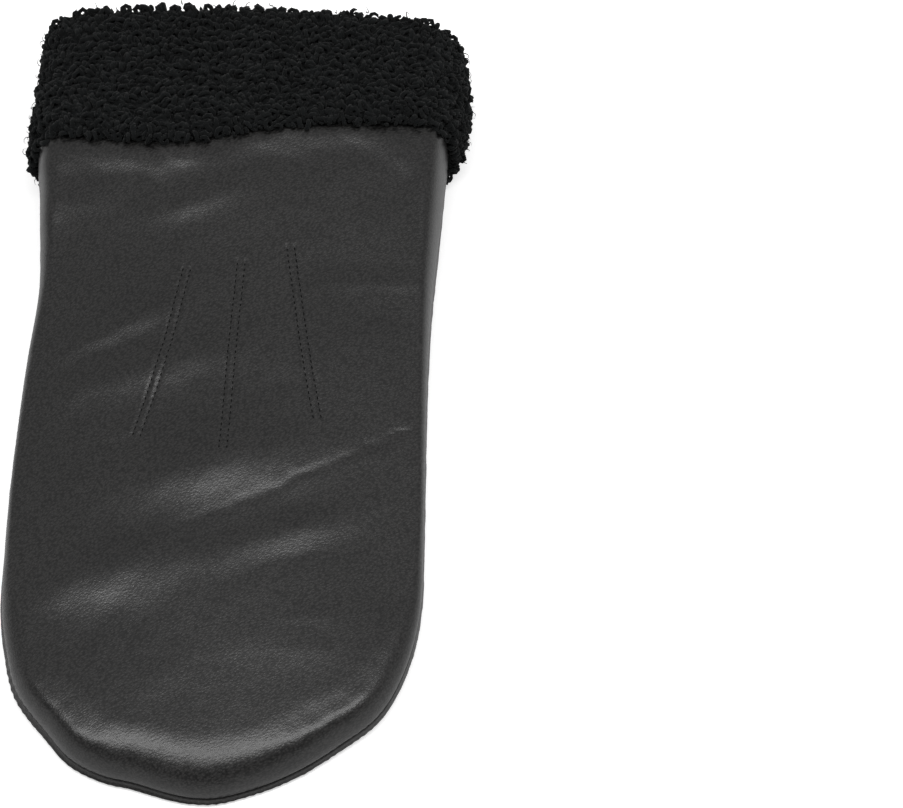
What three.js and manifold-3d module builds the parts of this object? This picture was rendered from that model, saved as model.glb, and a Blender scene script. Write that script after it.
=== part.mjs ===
// A left-hand leather mitten, lying palm down, with a curly wool cuff.
//
// Millimetres, +Z up. X runs across the hand, with the thumb side at -X. Y runs along it, with the
// fingertips at -Y and the open wrist at +Y. The mitten rests on Z = 0. Its origin is on that plane,
// halfway along and halfway across.
//
// The hand is first worked out straight, with Y = 0 at the wrist seam, and each point then goes
// through slant(), which gives the wrist seam its uneven run.

import * as THREE from 'three';
import { mergeVertices } from 'three/addons/utils/BufferGeometryUtils.js';
import Module from 'manifold-3d';

// Leather hand
const HAND_LENGTH = 221;
const HALF_WIDTH = 61.5;
const TIP_LENGTH = 74;
const TIP_POWER = 2.1;
const FAN_REACH = 0.4;
const LEATHER = 1.6;
const SEAM_GAP = 0.3;
const SEAM_TURN = 1.0;
const SEAM_LIP = 1.3;

// Back of the hand
const BACK_HEIGHT = 33;
const BACK_CROWN = 5.5;
const BACK_ROLL = 15;
const BACK_POWER = 2.3;
const SEAM_HEIGHT = 15;

// Palm
const PALM_ROLL = 12;
const PALM_POWER = 3;
const THUMB_SIDE_BULGE = 1.3;
const FAR_SIDE_BULGE = 0.5;
const WRIST_LIFT_RUN = 34;

// Thumb, lying under the palm
const THUMB_LENGTH = 88;
const THUMB_HALF_WIDTH = 19.5;
const THUMB_THICKNESS = 13;
const THUMB_POWER = 2.5;
const THUMB_FLAT = 0.4;
const THUMB_TIP = 24;
const THUMB_TIP_SHARE = 0.38;
const THUMB_BASE_Y = -32;
const THUMB_BASE_X = -27;
const THUMB_SLANT = 6;
const THUMB_RISE = 3.3;
const THUMB_RISE_RUN = 30;
const THUMB_CLEARANCE = 0.35;
const RECESS_CLEARANCE = 1.4;
const RECESS_SLOPE = 13;
const RECESS_START = 34;

// Raised stitched lines on the back
const POINT_WIDTH = 2.3;
const POINT_TOP_SHARE = 0.45;
const POINT_END_SHARE = 0.5;
const POINT_RISE = 0.5;
const POINT_STEP = 0.1;
const POINT_SUNK = 0.7;

// Wool cuff
const CUFF_LENGTH = 47;
const MOUTH_LEAN = 4;
const CUFF_PROUD = 4.6;
const CUFF_BULGE = 2.5;
const CUFF_WALL = 7.5;
const CUFF_NARROWING = 1.5;
const CUFF_EDGE = 3;
const CUFF_GAP = 0.5;
const SLEEVE_DEPTH = 24;
const SLEEVE_WALL = 5;
const SLEEVE_CLEARANCE = 0.5;
const LOCK_SIZE = 6.2;
const LOCK_SPREAD = 0.3;
const LOCK_HEIGHT = 4.2;
const LOCK_SUNK = 1.6;
const LOCK_SPACING = 12.8;
const LOCK_SHIFT = 3;
const LOCK_CLEARANCE = 0.9;

// How finely the faceted surfaces are divided
const EDGE_STEPS = 56;
const ACROSS_STEPS = 10;
const THUMB_STEPS = 10;
const THUMB_SIDES = 24;
const RIM_STEPS = 4;
const BAND_STEPS = 5;
const SLEEVE_STEPS = 3;
const POINT_STEPS = 14;
const NUDGE = 1e-3;
const WELD = 1e-4;

// Half widths of the hand as shares of HALF_WIDTH, at shares of HAND_LENGTH from the wrist seam
const OUTLINE = [
  { at: 0.0, thumbSide: 1.045, farSide: 1.02 },
  { at: 0.13, thumbSide: 1.005, farSide: 0.995 },
  { at: 0.235, thumbSide: 0.98, farSide: 0.975 },
  { at: 0.34, thumbSide: 1.0, farSide: 0.972 },
  { at: 0.44, thumbSide: 1.012, farSide: 0.977 },
  { at: 0.54, thumbSide: 1.018, farSide: 0.986 },
  { at: 0.665, thumbSide: 1.008, farSide: 0.995 },
];

// Reach of the uneven tip as shares of a plain round one, at shares of the way round it from the
// thumb side
const TIP_EDGE = [
  { at: 0.0, reach: 1.0 },
  { at: 0.1, reach: 1.006 },
  { at: 0.17, reach: 1.022 },
  { at: 0.245, reach: 0.999 },
  { at: 0.3, reach: 1.004 },
  { at: 0.35, reach: 0.985 },
  { at: 0.41, reach: 0.955 },
  { at: 0.51, reach: 0.973 },
  { at: 0.58, reach: 0.953 },
  { at: 0.65, reach: 0.945 },
  { at: 0.73, reach: 0.957 },
  { at: 0.8, reach: 0.998 },
  { at: 0.86, reach: 1.006 },
  { at: 1.0, reach: 1.0 },
];

// Section along the hand: the back as shares of BACK_HEIGHT, its crown as shares of BACK_CROWN, its
// rounded edge as shares of BACK_ROLL and the side seam as shares of SEAM_HEIGHT
const SECTIONS = [
  { at: 0.0, back: 1.0, crown: 0.95, roll: 0.8, seam: 1.0 },
  { at: 0.15, back: 0.8, crown: 1.5, roll: 0.35, seam: 0.95 },
  { at: 0.4, back: 0.558, crown: 1.8, roll: 0.16, seam: 0.85 },
  { at: 0.7, back: 0.406, crown: 1.4, roll: 0.22, seam: 0.55 },
  { at: 0.8, back: 0.433, crown: 0.8, roll: 0.7, seam: 0.44 },
  { at: 0.88, back: 0.464, crown: 0.3, roll: 0.95, seam: 0.34 },
  { at: 0.96, back: 0.442, crown: 0.1, roll: 0.98, seam: 0.23 },
  { at: 1.0, back: 0.4, crown: 0.0, roll: 1.0, seam: 0.21 },
];

// Run of the wrist seam: shares of CUFF_LENGTH towards the mouth, at shares of HALF_WIDTH across
const WRIST_LINE = [
  { at: -1.1, back: -0.02, palm: -0.02 },
  { at: -0.75, back: -0.11, palm: 0.0 },
  { at: -0.3, back: -0.16, palm: 0.02 },
  { at: 0.0, back: -0.07, palm: 0.04 },
  { at: 0.35, back: 0.01, palm: 0.07 },
  { at: 0.7, back: 0.08, palm: 0.1 },
  { at: 1.1, back: 0.15, palm: 0.15 },
];
const WRIST_LINE_REACH = 60;

// Soft folds of the back. Places and lengths are shares of HALF_WIDTH across and of
// HAND_LENGTH along, turn is in degrees from X, and depth is in shares of BACK_CROWN
const FOLDS = [
  { across: -0.19, along: 0.108, turn: 17, length: 0.08, width: 0.026, depth: 0.17 },
  { across: -0.63, along: 0.333, turn: 23, length: 0.09, width: 0.023, depth: 0.16 },
  { across: -0.465, along: 0.392, turn: 12, length: 0.14, width: 0.033, depth: 0.17 },
  { across: -0.11, along: 0.542, turn: 17.7, length: 0.14, width: 0.044, depth: 0.33 },
  { across: 0.34, along: 0.632, turn: 22, length: 0.09, width: 0.026, depth: 0.19 },
  { across: -0.58, along: 0.7, turn: 17.5, length: 0.13, width: 0.048, depth: 0.32 },
];

// Ends and middles of the three raised lines: shares of HALF_WIDTH across, of HAND_LENGTH along
const POINTS = [
  { line: 'thumb side', at: 0.0, across: -0.225, along: 0.225 },
  { line: 'thumb side', at: 0.5, across: -0.308, along: 0.366 },
  { line: 'thumb side', at: 1.0, across: -0.414, along: 0.495 },
  { line: 'middle', at: 0.0, across: 0.038, along: 0.215 },
  { line: 'middle', at: 0.5, across: 0.022, along: 0.365 },
  { line: 'middle', at: 1.0, across: 0.014, along: 0.518 },
  { line: 'far side', at: 0.0, across: 0.271, along: 0.188 },
  { line: 'far side', at: 0.5, across: 0.38, along: 0.356 },
  { line: 'far side', at: 1.0, across: 0.457, along: 0.457 },
];

const BLACK_LEATHER = { color: 0x1d1b1b, roughness: 0.42, metalness: 0 };
const BLACK_WOOL = { color: 0x0b0c0d, roughness: 0.95, metalness: 0 };

const TIP_START = HAND_LENGTH - TIP_LENGTH;
const TIP_ARC = Math.PI * Math.hypot(HALF_WIDTH, TIP_LENGTH) / Math.SQRT2;
const SIDE_SHARE = TIP_START / (2 * TIP_START + TIP_ARC);
const FAN_CENTRE_Y = -(TIP_START + FAN_REACH * TIP_LENGTH);
const THUMB_CENTRE_Z = THUMB_THICKNESS / 2 - THUMB_FLAT / 2;
const THUMB_HALF_THICKNESS = THUMB_THICKNESS / 2 + THUMB_FLAT / 2;
const THUMB_STRAIGHT = THUMB_LENGTH - THUMB_TIP;
const RECESS_HEIGHT = THUMB_THICKNESS + RECESS_CLEARANCE;
const SLEEVE_INSET = LEATHER + SEAM_TURN + SLEEVE_CLEARANCE;

const wasm = await Module();
wasm.setup();

function mix(from, to, share) {
  return from + (to - from) * share;
}

function clamp01(value) {
  return Math.min(Math.max(value, 0), 1);
}

function ease(from, to, value) {
  const share = clamp01((value - from) / (to - from));
  return share * share * (3 - 2 * share);
}

// One column of a table as a smooth curve through its rows, at a place along its first column
function follow(table, column, place) {
  const last = table.length - 1;
  const spot = Math.min(Math.max(place, table[0].at), table[last].at);
  let row = 0;
  while (row < last - 1 && spot > table[row + 1].at) {
    row += 1;
  }
  const slope = (index) => {
    const before = table[Math.max(index - 1, 0)];
    const after = table[Math.min(index + 1, last)];
    return (after[column] - before[column]) / (after.at - before.at);
  };
  const span = table[row + 1].at - table[row].at;
  const share = (spot - table[row].at) / span;
  const square = share * share;
  const cube = square * share;
  return (2 * cube - 3 * square + 1) * table[row][column]
    + (cube - 2 * square + share) * span * slope(row)
    + (3 * square - 2 * cube) * table[row + 1][column]
    + (cube - square) * span * slope(row + 1);
}

// Quarter of a rounded corner: 0 at its foot, 1 from its full width on
function roundedRise(share, power) {
  return (1 - (1 - clamp01(share)) ** power) ** (1 / power);
}

// A closed mesh from points and the corners of its triangles, with its faces turned outwards
function meshFrom(points, triangles) {
  const kept = triangles.filter(([a, b, c]) => a !== b && b !== c && c !== a);
  const geometry = new THREE.BufferGeometry();
  geometry.setAttribute('position', new THREE.Float32BufferAttribute(points.flat(), 3));
  geometry.setIndex(kept.flat());
  const loose = geometry.toNonIndexed();
  const welded = mergeVertices(loose, WELD);
  if (signedVolume(welded) < 0) {
    const index = welded.index.array;
    for (let first = 0; first < index.length; first += 3) {
      [index[first], index[first + 1]] = [index[first + 1], index[first]];
    }
  }
  return welded;
}

function signedVolume(geometry) {
  const place = geometry.attributes.position;
  const [a, b, c] = [new THREE.Vector3(), new THREE.Vector3(), new THREE.Vector3()];
  const index = geometry.index.array;
  let volume = 0;
  for (let first = 0; first < index.length; first += 3) {
    a.fromBufferAttribute(place, index[first]);
    b.fromBufferAttribute(place, index[first + 1]);
    c.fromBufferAttribute(place, index[first + 2]);
    volume += a.dot(b.cross(c)) / 6;
  }
  return volume;
}

function toSolid(geometry) {
  const vertProperties = new Float32Array(geometry.attributes.position.array);
  const triVerts = new Uint32Array(geometry.index.array);
  return new wasm.Manifold(new wasm.Mesh({ numProp: 3, vertProperties, triVerts }));
}

function toGeometry(solid) {
  const mesh = solid.getMesh();
  const geometry = new THREE.BufferGeometry();
  geometry.setAttribute('position', new THREE.BufferAttribute(mesh.vertProperties, 3));
  geometry.setIndex(new THREE.BufferAttribute(mesh.triVerts, 1));
  return geometry;
}

function alongHand(y) {
  return -y / HAND_LENGTH;
}

function halfWidth(x, y) {
  return follow(OUTLINE, x < 0 ? 'thumbSide' : 'farSide', alongHand(y)) * HALF_WIDTH;
}

function section(column, y) {
  return follow(SECTIONS, column, alongHand(y));
}

// Moves a point along the hand, so that the wrist seam runs unevenly round the wrist and the mouth
// of the cuff leans back
function slant([x, y, z]) {
  const across = x / HALF_WIDTH;
  const onBack = ease(0, BACK_HEIGHT, z);
  const shift = mix(follow(WRIST_LINE, 'palm', across), follow(WRIST_LINE, 'back', across), onBack);
  const toMouth = ease(0, CUFF_LENGTH, y);
  const fading = y < 0 ? ease(-WRIST_LINE_REACH, 0, y) : 1 - toMouth;
  return [x, y + shift * CUFF_LENGTH * fading + MOUTH_LEAN * (1 - onBack) * toMouth, z];
}

// The edge of the hand seen from above, from the thumb side of the wrist (0) round the tip to the
// far side of the wrist (1)
function edge(round) {
  const side = round < 0.5 ? -1 : 1;
  const fromWrist = Math.min(round, 1 - round);
  const along = Math.min(fromWrist / SIDE_SHARE, 1) * TIP_START;
  const half = halfWidth(side, -along);
  if (fromWrist <= SIDE_SHARE) {
    return { x: side * half, y: -along };
  }
  const reach = follow(TIP_EDGE, 'reach', (round - SIDE_SHARE) / (1 - 2 * SIDE_SHARE));
  const angle = (fromWrist - SIDE_SHARE) / (0.5 - SIDE_SHARE) * Math.PI / 2;
  const out = Math.cos(angle) ** (2 / TIP_POWER) * reach;
  const down = Math.sin(angle) ** (2 / TIP_POWER) * reach;
  return { x: side * half * out, y: -(TIP_START + TIP_LENGTH * down) };
}

// A place on the hand seen from above: inward is 0 on the edge and 1 on the middle line, with the
// steps between crowded towards the edge
function place(round, step) {
  const rim = edge(round);
  const inward = 1 - Math.cos(step * Math.PI / 2);
  const centre = { x: 0, y: Math.max(rim.y, FAN_CENTRE_Y) };
  const reach = Math.hypot(centre.x - rim.x, centre.y - rim.y);
  return {
    x: mix(rim.x, centre.x, inward),
    y: mix(rim.y, centre.y, inward),
    inward,
    fromEdge: inward * reach,
    toCentre: { x: (centre.x - rim.x) / reach, y: (centre.y - rim.y) / reach },
    rimY: rim.y,
  };
}

function foldHeight(x, y) {
  let height = 0;
  for (const fold of FOLDS) {
    const dx = x - fold.across * HALF_WIDTH;
    const dy = y + fold.along * HAND_LENGTH;
    const turn = fold.turn * Math.PI / 180;
    const along = (dx * Math.cos(turn) + dy * Math.sin(turn)) / (fold.length * HAND_LENGTH);
    const across = (dy * Math.cos(turn) - dx * Math.sin(turn)) / (fold.width * HAND_LENGTH);
    height += fold.depth * BACK_CROWN * Math.exp(-along * along - across * across);
  }
  return height;
}

function seamHeight(y) {
  return section('seam', y) * SEAM_HEIGHT;
}

// Top of the back away from its rounded edge: a low crown with soft folds
function backTop(x, y, inward) {
  const crown = section('crown', y) * BACK_CROWN * (1 - (1 - inward) ** 2);
  return section('back', y) * BACK_HEIGHT + crown + foldHeight(x, y);
}

// Height of the back between its seam (0) and its top (1), at a distance from its edge
function backRise(fromEdge, y) {
  return roundedRise(fromEdge / (section('roll', y) * BACK_ROLL), BACK_POWER);
}

function backPoint(round, step) {
  const spot = place(round, step);
  const seam = seamHeight(spot.rimY) + SEAM_LIP;
  const rise = backRise(spot.fromEdge, spot.rimY);
  return [spot.x, spot.y, mix(seam, backTop(spot.x, spot.y, spot.inward), rise)];
}

// Middle line of the thumb, from its base inside the hand (0) to the start of its round tip (1)
function thumbAxis(share) {
  const y = THUMB_BASE_Y - share * THUMB_STRAIGHT;
  const risen = ease(-THUMB_RISE_RUN, 0, y - THUMB_BASE_Y);
  return [THUMB_BASE_X + THUMB_SLANT * share, y, THUMB_CENTRE_Z + THUMB_RISE * risen];
}

// Distance on the floor from the outline of the thumb, where it lies outside the hand
function beyondThumb(x, y) {
  const share = clamp01((THUMB_BASE_Y - y) / THUMB_STRAIGHT);
  const axisX = THUMB_BASE_X + THUMB_SLANT * share;
  const lastY = THUMB_BASE_Y - THUMB_STRAIGHT;
  const pastTip = Math.max(lastY - y, 0) * THUMB_HALF_WIDTH / THUMB_TIP;
  const pastBase = Math.max(y - (THUMB_BASE_Y - RECESS_START), 0);
  return Math.hypot(x - axisX, pastTip, pastBase) - THUMB_HALF_WIDTH;
}

// Underside of the palm, away from the edge: flat, lifted at the wrist by the thicker wool and
// raised over the thumb
function palmFloor(x, y) {
  const lift = CUFF_PROUD * ease(-WRIST_LIFT_RUN, 0, y);
  const gap = beyondThumb(x, y) - RECESS_CLEARANCE;
  const recess = RECESS_HEIGHT * (1 - ease(0, RECESS_SLOPE, gap));
  return Math.max(lift, recess);
}

function palmPoint(round, step) {
  const spot = place(round, step);
  const seam = seamHeight(spot.rimY) - SEAM_LIP;
  const drop = roundedRise(spot.fromEdge / PALM_ROLL, PALM_POWER);
  const most = mix(THUMB_SIDE_BULGE, FAR_SIDE_BULGE, ease(-HALF_WIDTH, HALF_WIDTH, spot.x));
  const bulge = most * 4 * drop * (1 - drop);
  const x = spot.x - spot.toCentre.x * bulge;
  const y = spot.y - spot.toCentre.y * bulge;
  return [x, y, mix(seam, palmFloor(spot.x, spot.y), drop)];
}

// The point at a depth inside a panel, square to its surface. Side is 1 on the back, -1 on the palm
function inside(surface, round, step, depth, side) {
  const ahead = new THREE.Vector3(...surface(Math.min(round + NUDGE, 1), step));
  const behind = new THREE.Vector3(...surface(Math.max(round - NUDGE, 0), step));
  const inner = new THREE.Vector3(...surface(round, Math.min(step + NUDGE, 1)));
  const outer = new THREE.Vector3(...surface(round, Math.max(step - NUDGE, 0)));
  const normal = ahead.sub(behind).cross(inner.sub(outer));
  if (normal.length() < 1e-7) {
    normal.set(0, 0, 1);
  }
  if (step === 0) {
    normal.setZ(0);
  }
  const point = new THREE.Vector3(...surface(round, step));
  return point.addScaledVector(normal.normalize(), -side * depth).toArray();
}

// A leather panel: an outer and an inner sheet over the outline of the hand, turned in at the seam
function panel(surface, side) {
  const columns = EDGE_STEPS;
  const rows = ACROSS_STEPS + 1;
  const fanColumn = columnPastFan();
  const size = (columns + 1) * (rows + 1);
  const outer = [];
  const inner = [];
  for (let row = 0; row <= rows; row += 1) {
    for (let column = 0; column <= columns; column += 1) {
      const round = column / columns;
      const step = Math.max(row - 1, 0) / ACROSS_STEPS;
      const rim = place(round, 0);
      if (row > 0) {
        outer.push(slant(surface(round, step)));
        inner.push(slant(inside(surface, round, step, LEATHER, side)));
        continue;
      }
      const z = seamHeight(rim.rimY) + side * SEAM_GAP / 2;
      const turned = (depth) => [rim.x + rim.toCentre.x * depth, rim.y + rim.toCentre.y * depth, z];
      outer.push(slant(turned(SEAM_TURN)));
      inner.push(slant(turned(SEAM_TURN + LEATHER)));
    }
  }
  const name = (column, row) => {
    const mirrored = Math.min(column, columns - column, fanColumn);
    return row * (columns + 1) + (row === rows ? mirrored : column);
  };
  const triangles = [];
  const quad = (a, b, c, d) => triangles.push([a, b, c], [a, c, d]);
  for (let row = 0; row < rows; row += 1) {
    for (let column = 0; column < columns; column += 1) {
      const a = name(column, row);
      const b = name(column + 1, row);
      const c = name(column + 1, row + 1);
      const d = name(column, row + 1);
      quad(a, b, c, d);
      quad(size + a, size + d, size + c, size + b);
      if (row === 0) {
        quad(b, a, size + a, size + b);
      }
    }
    const near = [name(0, row), name(0, row + 1)];
    const far = [name(columns, row), name(columns, row + 1)];
    quad(near[0], near[1], size + near[1], size + near[0]);
    quad(far[1], far[0], size + far[0], size + far[1]);
  }
  return meshFrom([...outer, ...inner], triangles);
}

function columnPastFan() {
  let column = 0;
  while (edge(column / EDGE_STEPS).y > FAN_CENTRE_Y) {
    column += 1;
  }
  return column;
}

// One raised stitched line: a low ridge with a rounded top, sunk into the leather
function ridge(line) {
  const rows = POINTS.filter((row) => row.line === line);
  const half = POINT_WIDTH / 2;
  const sink = -POINT_SUNK;
  const points = [];
  for (let station = 0; station <= POINT_STEPS; station += 1) {
    const at = station / POINT_STEPS;
    const taper = station === 0 || station === POINT_STEPS ? POINT_END_SHARE : 1;
    const x = follow(rows, 'across', at) * HALF_WIDTH;
    const y = -follow(rows, 'along', at) * HAND_LENGTH;
    const profile = [
      { out: -half, up: sink },
      { out: half, up: sink },
      { out: half * taper, up: POINT_STEP },
      { out: half * taper * POINT_TOP_SHARE, up: POINT_RISE * taper },
      { out: -half * taper * POINT_TOP_SHARE, up: POINT_RISE * taper },
      { out: -half * taper, up: POINT_STEP },
    ];
    for (const corner of profile) {
      const px = x + corner.out;
      points.push(slant([px, y, backTop(px, y, 1 - Math.abs(px) / halfWidth(px, y)) + corner.up]));
    }
  }
  const sides = 6;
  const triangles = [];
  for (let station = 0; station < POINT_STEPS; station += 1) {
    for (let side = 0; side < sides; side += 1) {
      const next = (side + 1) % sides;
      const here = station * sides;
      const there = here + sides;
      triangles.push([here + side, here + next, there + next], [here + side, there + next, there + side]);
    }
  }
  const end = POINT_STEPS * sides;
  for (let side = 1; side < sides - 1; side += 1) {
    triangles.push([0, side + 1, side], [end, end + side, end + side + 1]);
  }
  return meshFrom(points, triangles);
}

function backPanel() {
  let solid = toSolid(panel(backPoint, 1));
  for (const line of ['thumb side', 'middle', 'far side']) {
    solid = solid.add(toSolid(ridge(line)));
  }
  return toGeometry(solid);
}

// A point of the thumb's surface, or of a surface at a depth inside it
function thumbPoint(turn, share, depth, floor) {
  const straight = 1 - THUMB_TIP_SHARE;
  const capShare = clamp01((share - straight) / THUMB_TIP_SHARE);
  const cap = capShare * Math.PI / 2;
  const axis = thumbAxis(Math.min(share / straight, 1));
  const narrowing = capShare === 1 ? 0 : Math.cos(cap) ** (2 / THUMB_POWER);
  const reach = (THUMB_TIP - depth) * Math.sin(cap) ** (2 / THUMB_POWER);
  const out = Math.cos(turn);
  const up = Math.sin(turn);
  const across = Math.sign(out) * Math.abs(out) ** (2 / THUMB_POWER);
  const high = Math.sign(up) * Math.abs(up) ** (2 / THUMB_POWER);
  const x = axis[0] + (THUMB_HALF_WIDTH - depth) * narrowing * across;
  const z = axis[2] + (THUMB_HALF_THICKNESS - depth) * narrowing * high;
  return [x, axis[1] - reach, Math.max(z, floor)];
}

// Rings of points along the thumb, the first ones before its base if it is to reach further
function thumbSheet(depth, floor, extraRings) {
  const points = [];
  for (let ring = -extraRings; ring <= THUMB_STEPS; ring += 1) {
    for (let side = 0; side < THUMB_SIDES; side += 1) {
      const turn = side / THUMB_SIDES * 2 * Math.PI;
      points.push(thumbPoint(turn, ring / THUMB_STEPS, depth, floor));
    }
  }
  return points;
}

function thumbTriangles(offset, rings, flip) {
  const triangles = [];
  for (let ring = 0; ring < rings; ring += 1) {
    for (let side = 0; side < THUMB_SIDES; side += 1) {
      const next = (side + 1) % THUMB_SIDES;
      const near = offset + ring * THUMB_SIDES;
      const far = near + THUMB_SIDES;
      const last = ring === rings - 1;
      const corners = [near + side, near + next, far + (last ? 0 : next), far + (last ? 0 : side)];
      const [a, b, c, d] = flip ? corners.reverse() : corners;
      triangles.push([a, b, c], [a, c, d]);
    }
  }
  return triangles;
}

function thumb() {
  const outer = thumbSheet(0, 0, 0);
  const inner = thumbSheet(LEATHER, LEATHER, 0);
  const size = outer.length;
  const triangles = [
    ...thumbTriangles(0, THUMB_STEPS, false),
    ...thumbTriangles(size, THUMB_STEPS, true),
  ];
  for (let side = 0; side < THUMB_SIDES; side += 1) {
    const next = (side + 1) % THUMB_SIDES;
    triangles.push([next, side, size + side], [next, size + side, size + next]);
  }
  return meshFrom([...outer, ...inner], triangles);
}

// The room that the thumb takes up where it passes through the palm
function thumbRoom() {
  const points = thumbSheet(-THUMB_CLEARANCE, -THUMB_CLEARANCE, 1);
  const triangles = thumbTriangles(0, THUMB_STEPS + 1, false);
  for (let side = 1; side < THUMB_SIDES - 1; side += 1) {
    triangles.push([0, side + 1, side]);
  }
  return meshFrom(points, triangles);
}

function palmPanel() {
  return toGeometry(toSolid(panel(palmPoint, -1)).subtract(toSolid(thumbRoom())));
}

// Cross-section of the leather hand at a place along it: turn runs from the thumb-side seam (0)
// over the back to the far seam (0.5) and back under the palm (1)
function sectionCurve(turn, y) {
  const lap = turn - Math.floor(turn);
  const onTop = lap < 0.5;
  const half = onTop ? lap * 2 : (1 - lap) * 2;
  const thumbSide = half < 0.5;
  const step = thumbSide ? half * 2 : (1 - half) * 2;
  const inward = 1 - Math.cos(step * Math.PI / 2);
  const side = thumbSide ? -1 : 1;
  const width = halfWidth(side, y);
  const x = side * width * (1 - inward);
  if (onTop) {
    return [x, mix(seamHeight(y), backTop(x, y, inward), backRise(width * inward, y))];
  }
  const drop = roundedRise(width * inward / PALM_ROLL, PALM_POWER);
  return [x, mix(seamHeight(y), palmFloor(x, y), drop)];
}

// The same section, pushed inwards by a depth
function sectionPoint(turn, y, depth) {
  const at = sectionCurve(turn, y);
  const ahead = sectionCurve(turn + NUDGE, y);
  const behind = sectionCurve(turn - NUDGE, y);
  const tangent = new THREE.Vector2(ahead[0] - behind[0], ahead[1] - behind[1]).normalize();
  return [at[0] + tangent.y * depth, at[1] - tangent.x * depth];
}

// Section of the cuff, as a closed run of places along the hand and depths inside the leather's
// outer face: out along the inside, round the mouth, back along the outside, then along the sleeve
function cuffProfile() {
  const innerDepth = SLEEVE_INSET + SLEEVE_WALL;
  const mouthOuter = CUFF_NARROWING - CUFF_PROUD;
  const mouthInner = mouthOuter + CUFF_WALL;
  const rim = CUFF_WALL / 2;
  const profile = [];
  for (let step = 0; step <= BAND_STEPS; step += 1) {
    const y = mix(-SLEEVE_DEPTH, CUFF_LENGTH - rim, step / BAND_STEPS);
    profile.push({ y, depth: mix(innerDepth, mouthInner, ease(0, CUFF_LENGTH, y)) });
  }
  for (let step = 1; step < RIM_STEPS; step += 1) {
    const angle = step / RIM_STEPS * Math.PI;
    const depth = mix(mouthInner, mouthOuter, (1 - Math.cos(angle)) / 2);
    profile.push({ y: CUFF_LENGTH - rim + rim * Math.sin(angle), depth });
  }
  for (let step = 0; step < BAND_STEPS; step += 1) {
    const share = step / BAND_STEPS;
    const y = mix(CUFF_LENGTH - rim, CUFF_GAP + CUFF_EDGE, share);
    profile.push({ y, depth: mix(mouthOuter, -CUFF_PROUD, share) });
  }
  for (let step = 0; step <= 2; step += 1) {
    const angle = step / 2 * Math.PI / 2;
    const y = CUFF_GAP + CUFF_EDGE * (1 - Math.sin(angle));
    profile.push({ y, depth: -CUFF_PROUD + CUFF_EDGE * (1 - Math.cos(angle)) });
  }
  profile.push({ y: CUFF_GAP, depth: 0 });
  for (let step = 0; step <= SLEEVE_STEPS; step += 1) {
    profile.push({ y: mix(CUFF_GAP, -SLEEVE_DEPTH, step / SLEEVE_STEPS), depth: SLEEVE_INSET });
  }
  return profile;
}

// A point of the cuff: the wrist's section carried on towards the mouth, level on the floor below
// and fuller at the far side
function cuffPoint(turn, y, depth) {
  const [x, z] = sectionPoint(turn, Math.min(y, 0), depth);
  const toMouth = clamp01(y / CUFF_LENGTH);
  const bulge = CUFF_BULGE * Math.sin(Math.PI * toMouth) * ease(0, HALF_WIDTH, x);
  const lowered = CUFF_NARROWING * toMouth * (1 - ease(0, SEAM_HEIGHT, z));
  return slant([x + bulge, y, Math.max(z - lowered, 0)]);
}

function cuffBand() {
  const sides = 4 * ACROSS_STEPS;
  const profile = cuffProfile();
  const rows = profile.length;
  const points = [];
  for (const station of profile) {
    for (let side = 0; side < sides; side += 1) {
      points.push(cuffPoint(side / sides, station.y, station.depth));
    }
  }
  const triangles = [];
  for (let row = 0; row < rows; row += 1) {
    for (let side = 0; side < sides; side += 1) {
      const next = (side + 1) % sides;
      const here = row * sides;
      const there = ((row + 1) % rows) * sides;
      triangles.push([here + side, here + next, there + next], [here + side, there + next, there + side]);
    }
  }
  return meshFrom(points, triangles);
}

// A steady spread of numbers from 0 to 1, so that the locks lie unevenly but always the same
function scatter(seed) {
  const value = Math.sin(seed * 12.9898) * 43758.5453;
  return value - Math.floor(value);
}

// One lock of wool: a low rounded knob, sunk into the cuff and pointing out from it
function woolLock(turn, y, depth, seed) {
  const at = new THREE.Vector3(...cuffPoint(turn, y, depth));
  const out = new THREE.Vector3(...cuffPoint(turn, y, depth - 1)).sub(at).setY(0).normalize();
  const wide = LOCK_SIZE * (1 + LOCK_SPREAD * (scatter(seed + 0.25) - 0.5));
  const lock = new THREE.IcosahedronGeometry(1, 0);
  lock.deleteAttribute('normal');
  lock.deleteAttribute('uv');
  lock.rotateY(2 * Math.PI * scatter(seed + 0.75));
  lock.scale(wide, LOCK_HEIGHT, wide);
  lock.applyQuaternion(new THREE.Quaternion().setFromUnitVectors(new THREE.Vector3(0, 1, 0), out));
  const centre = at.addScaledVector(out, -LOCK_SUNK);
  lock.translate(centre.x, centre.y, centre.z);
  return mergeVertices(lock, WELD);
}

// Staggered rows of locks over the outside of the cuff, clear of the leather and of the floor
function woolLocks() {
  const locks = [];
  const rows = Math.round(CUFF_LENGTH / LOCK_SPACING);
  const girth = 4 * HALF_WIDTH + 2 * BACK_HEIGHT;
  const count = Math.round(girth / LOCK_SPACING);
  const firstRow = CUFF_GAP + LOCK_CLEARANCE + LOCK_SIZE + LOCK_SHIFT / 2;
  const lastRow = CUFF_LENGTH - LOCK_SIZE;
  for (let row = 0; row < rows; row += 1) {
    for (let number = 0; number < count; number += 1) {
      const seed = row * count + number;
      const turn = (number + (row % 2) / 2 + LOCK_SPREAD * (scatter(seed) - 0.5)) / count;
      const y = mix(firstRow, lastRow, row / (rows - 1)) + LOCK_SHIFT * (scatter(seed + 0.5) - 0.5);
      const depth = mix(-CUFF_PROUD, CUFF_NARROWING - CUFF_PROUD, y / CUFF_LENGTH);
      if (cuffPoint(turn, y, depth)[2] > LOCK_SIZE) {
        locks.push(woolLock(turn, y, depth, seed));
      }
    }
  }
  return locks;
}

function woolCuff() {
  let solid = toSolid(cuffBand());
  for (const lock of woolLocks()) {
    solid = solid.add(toSolid(lock));
  }
  return toGeometry(solid);
}

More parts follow.
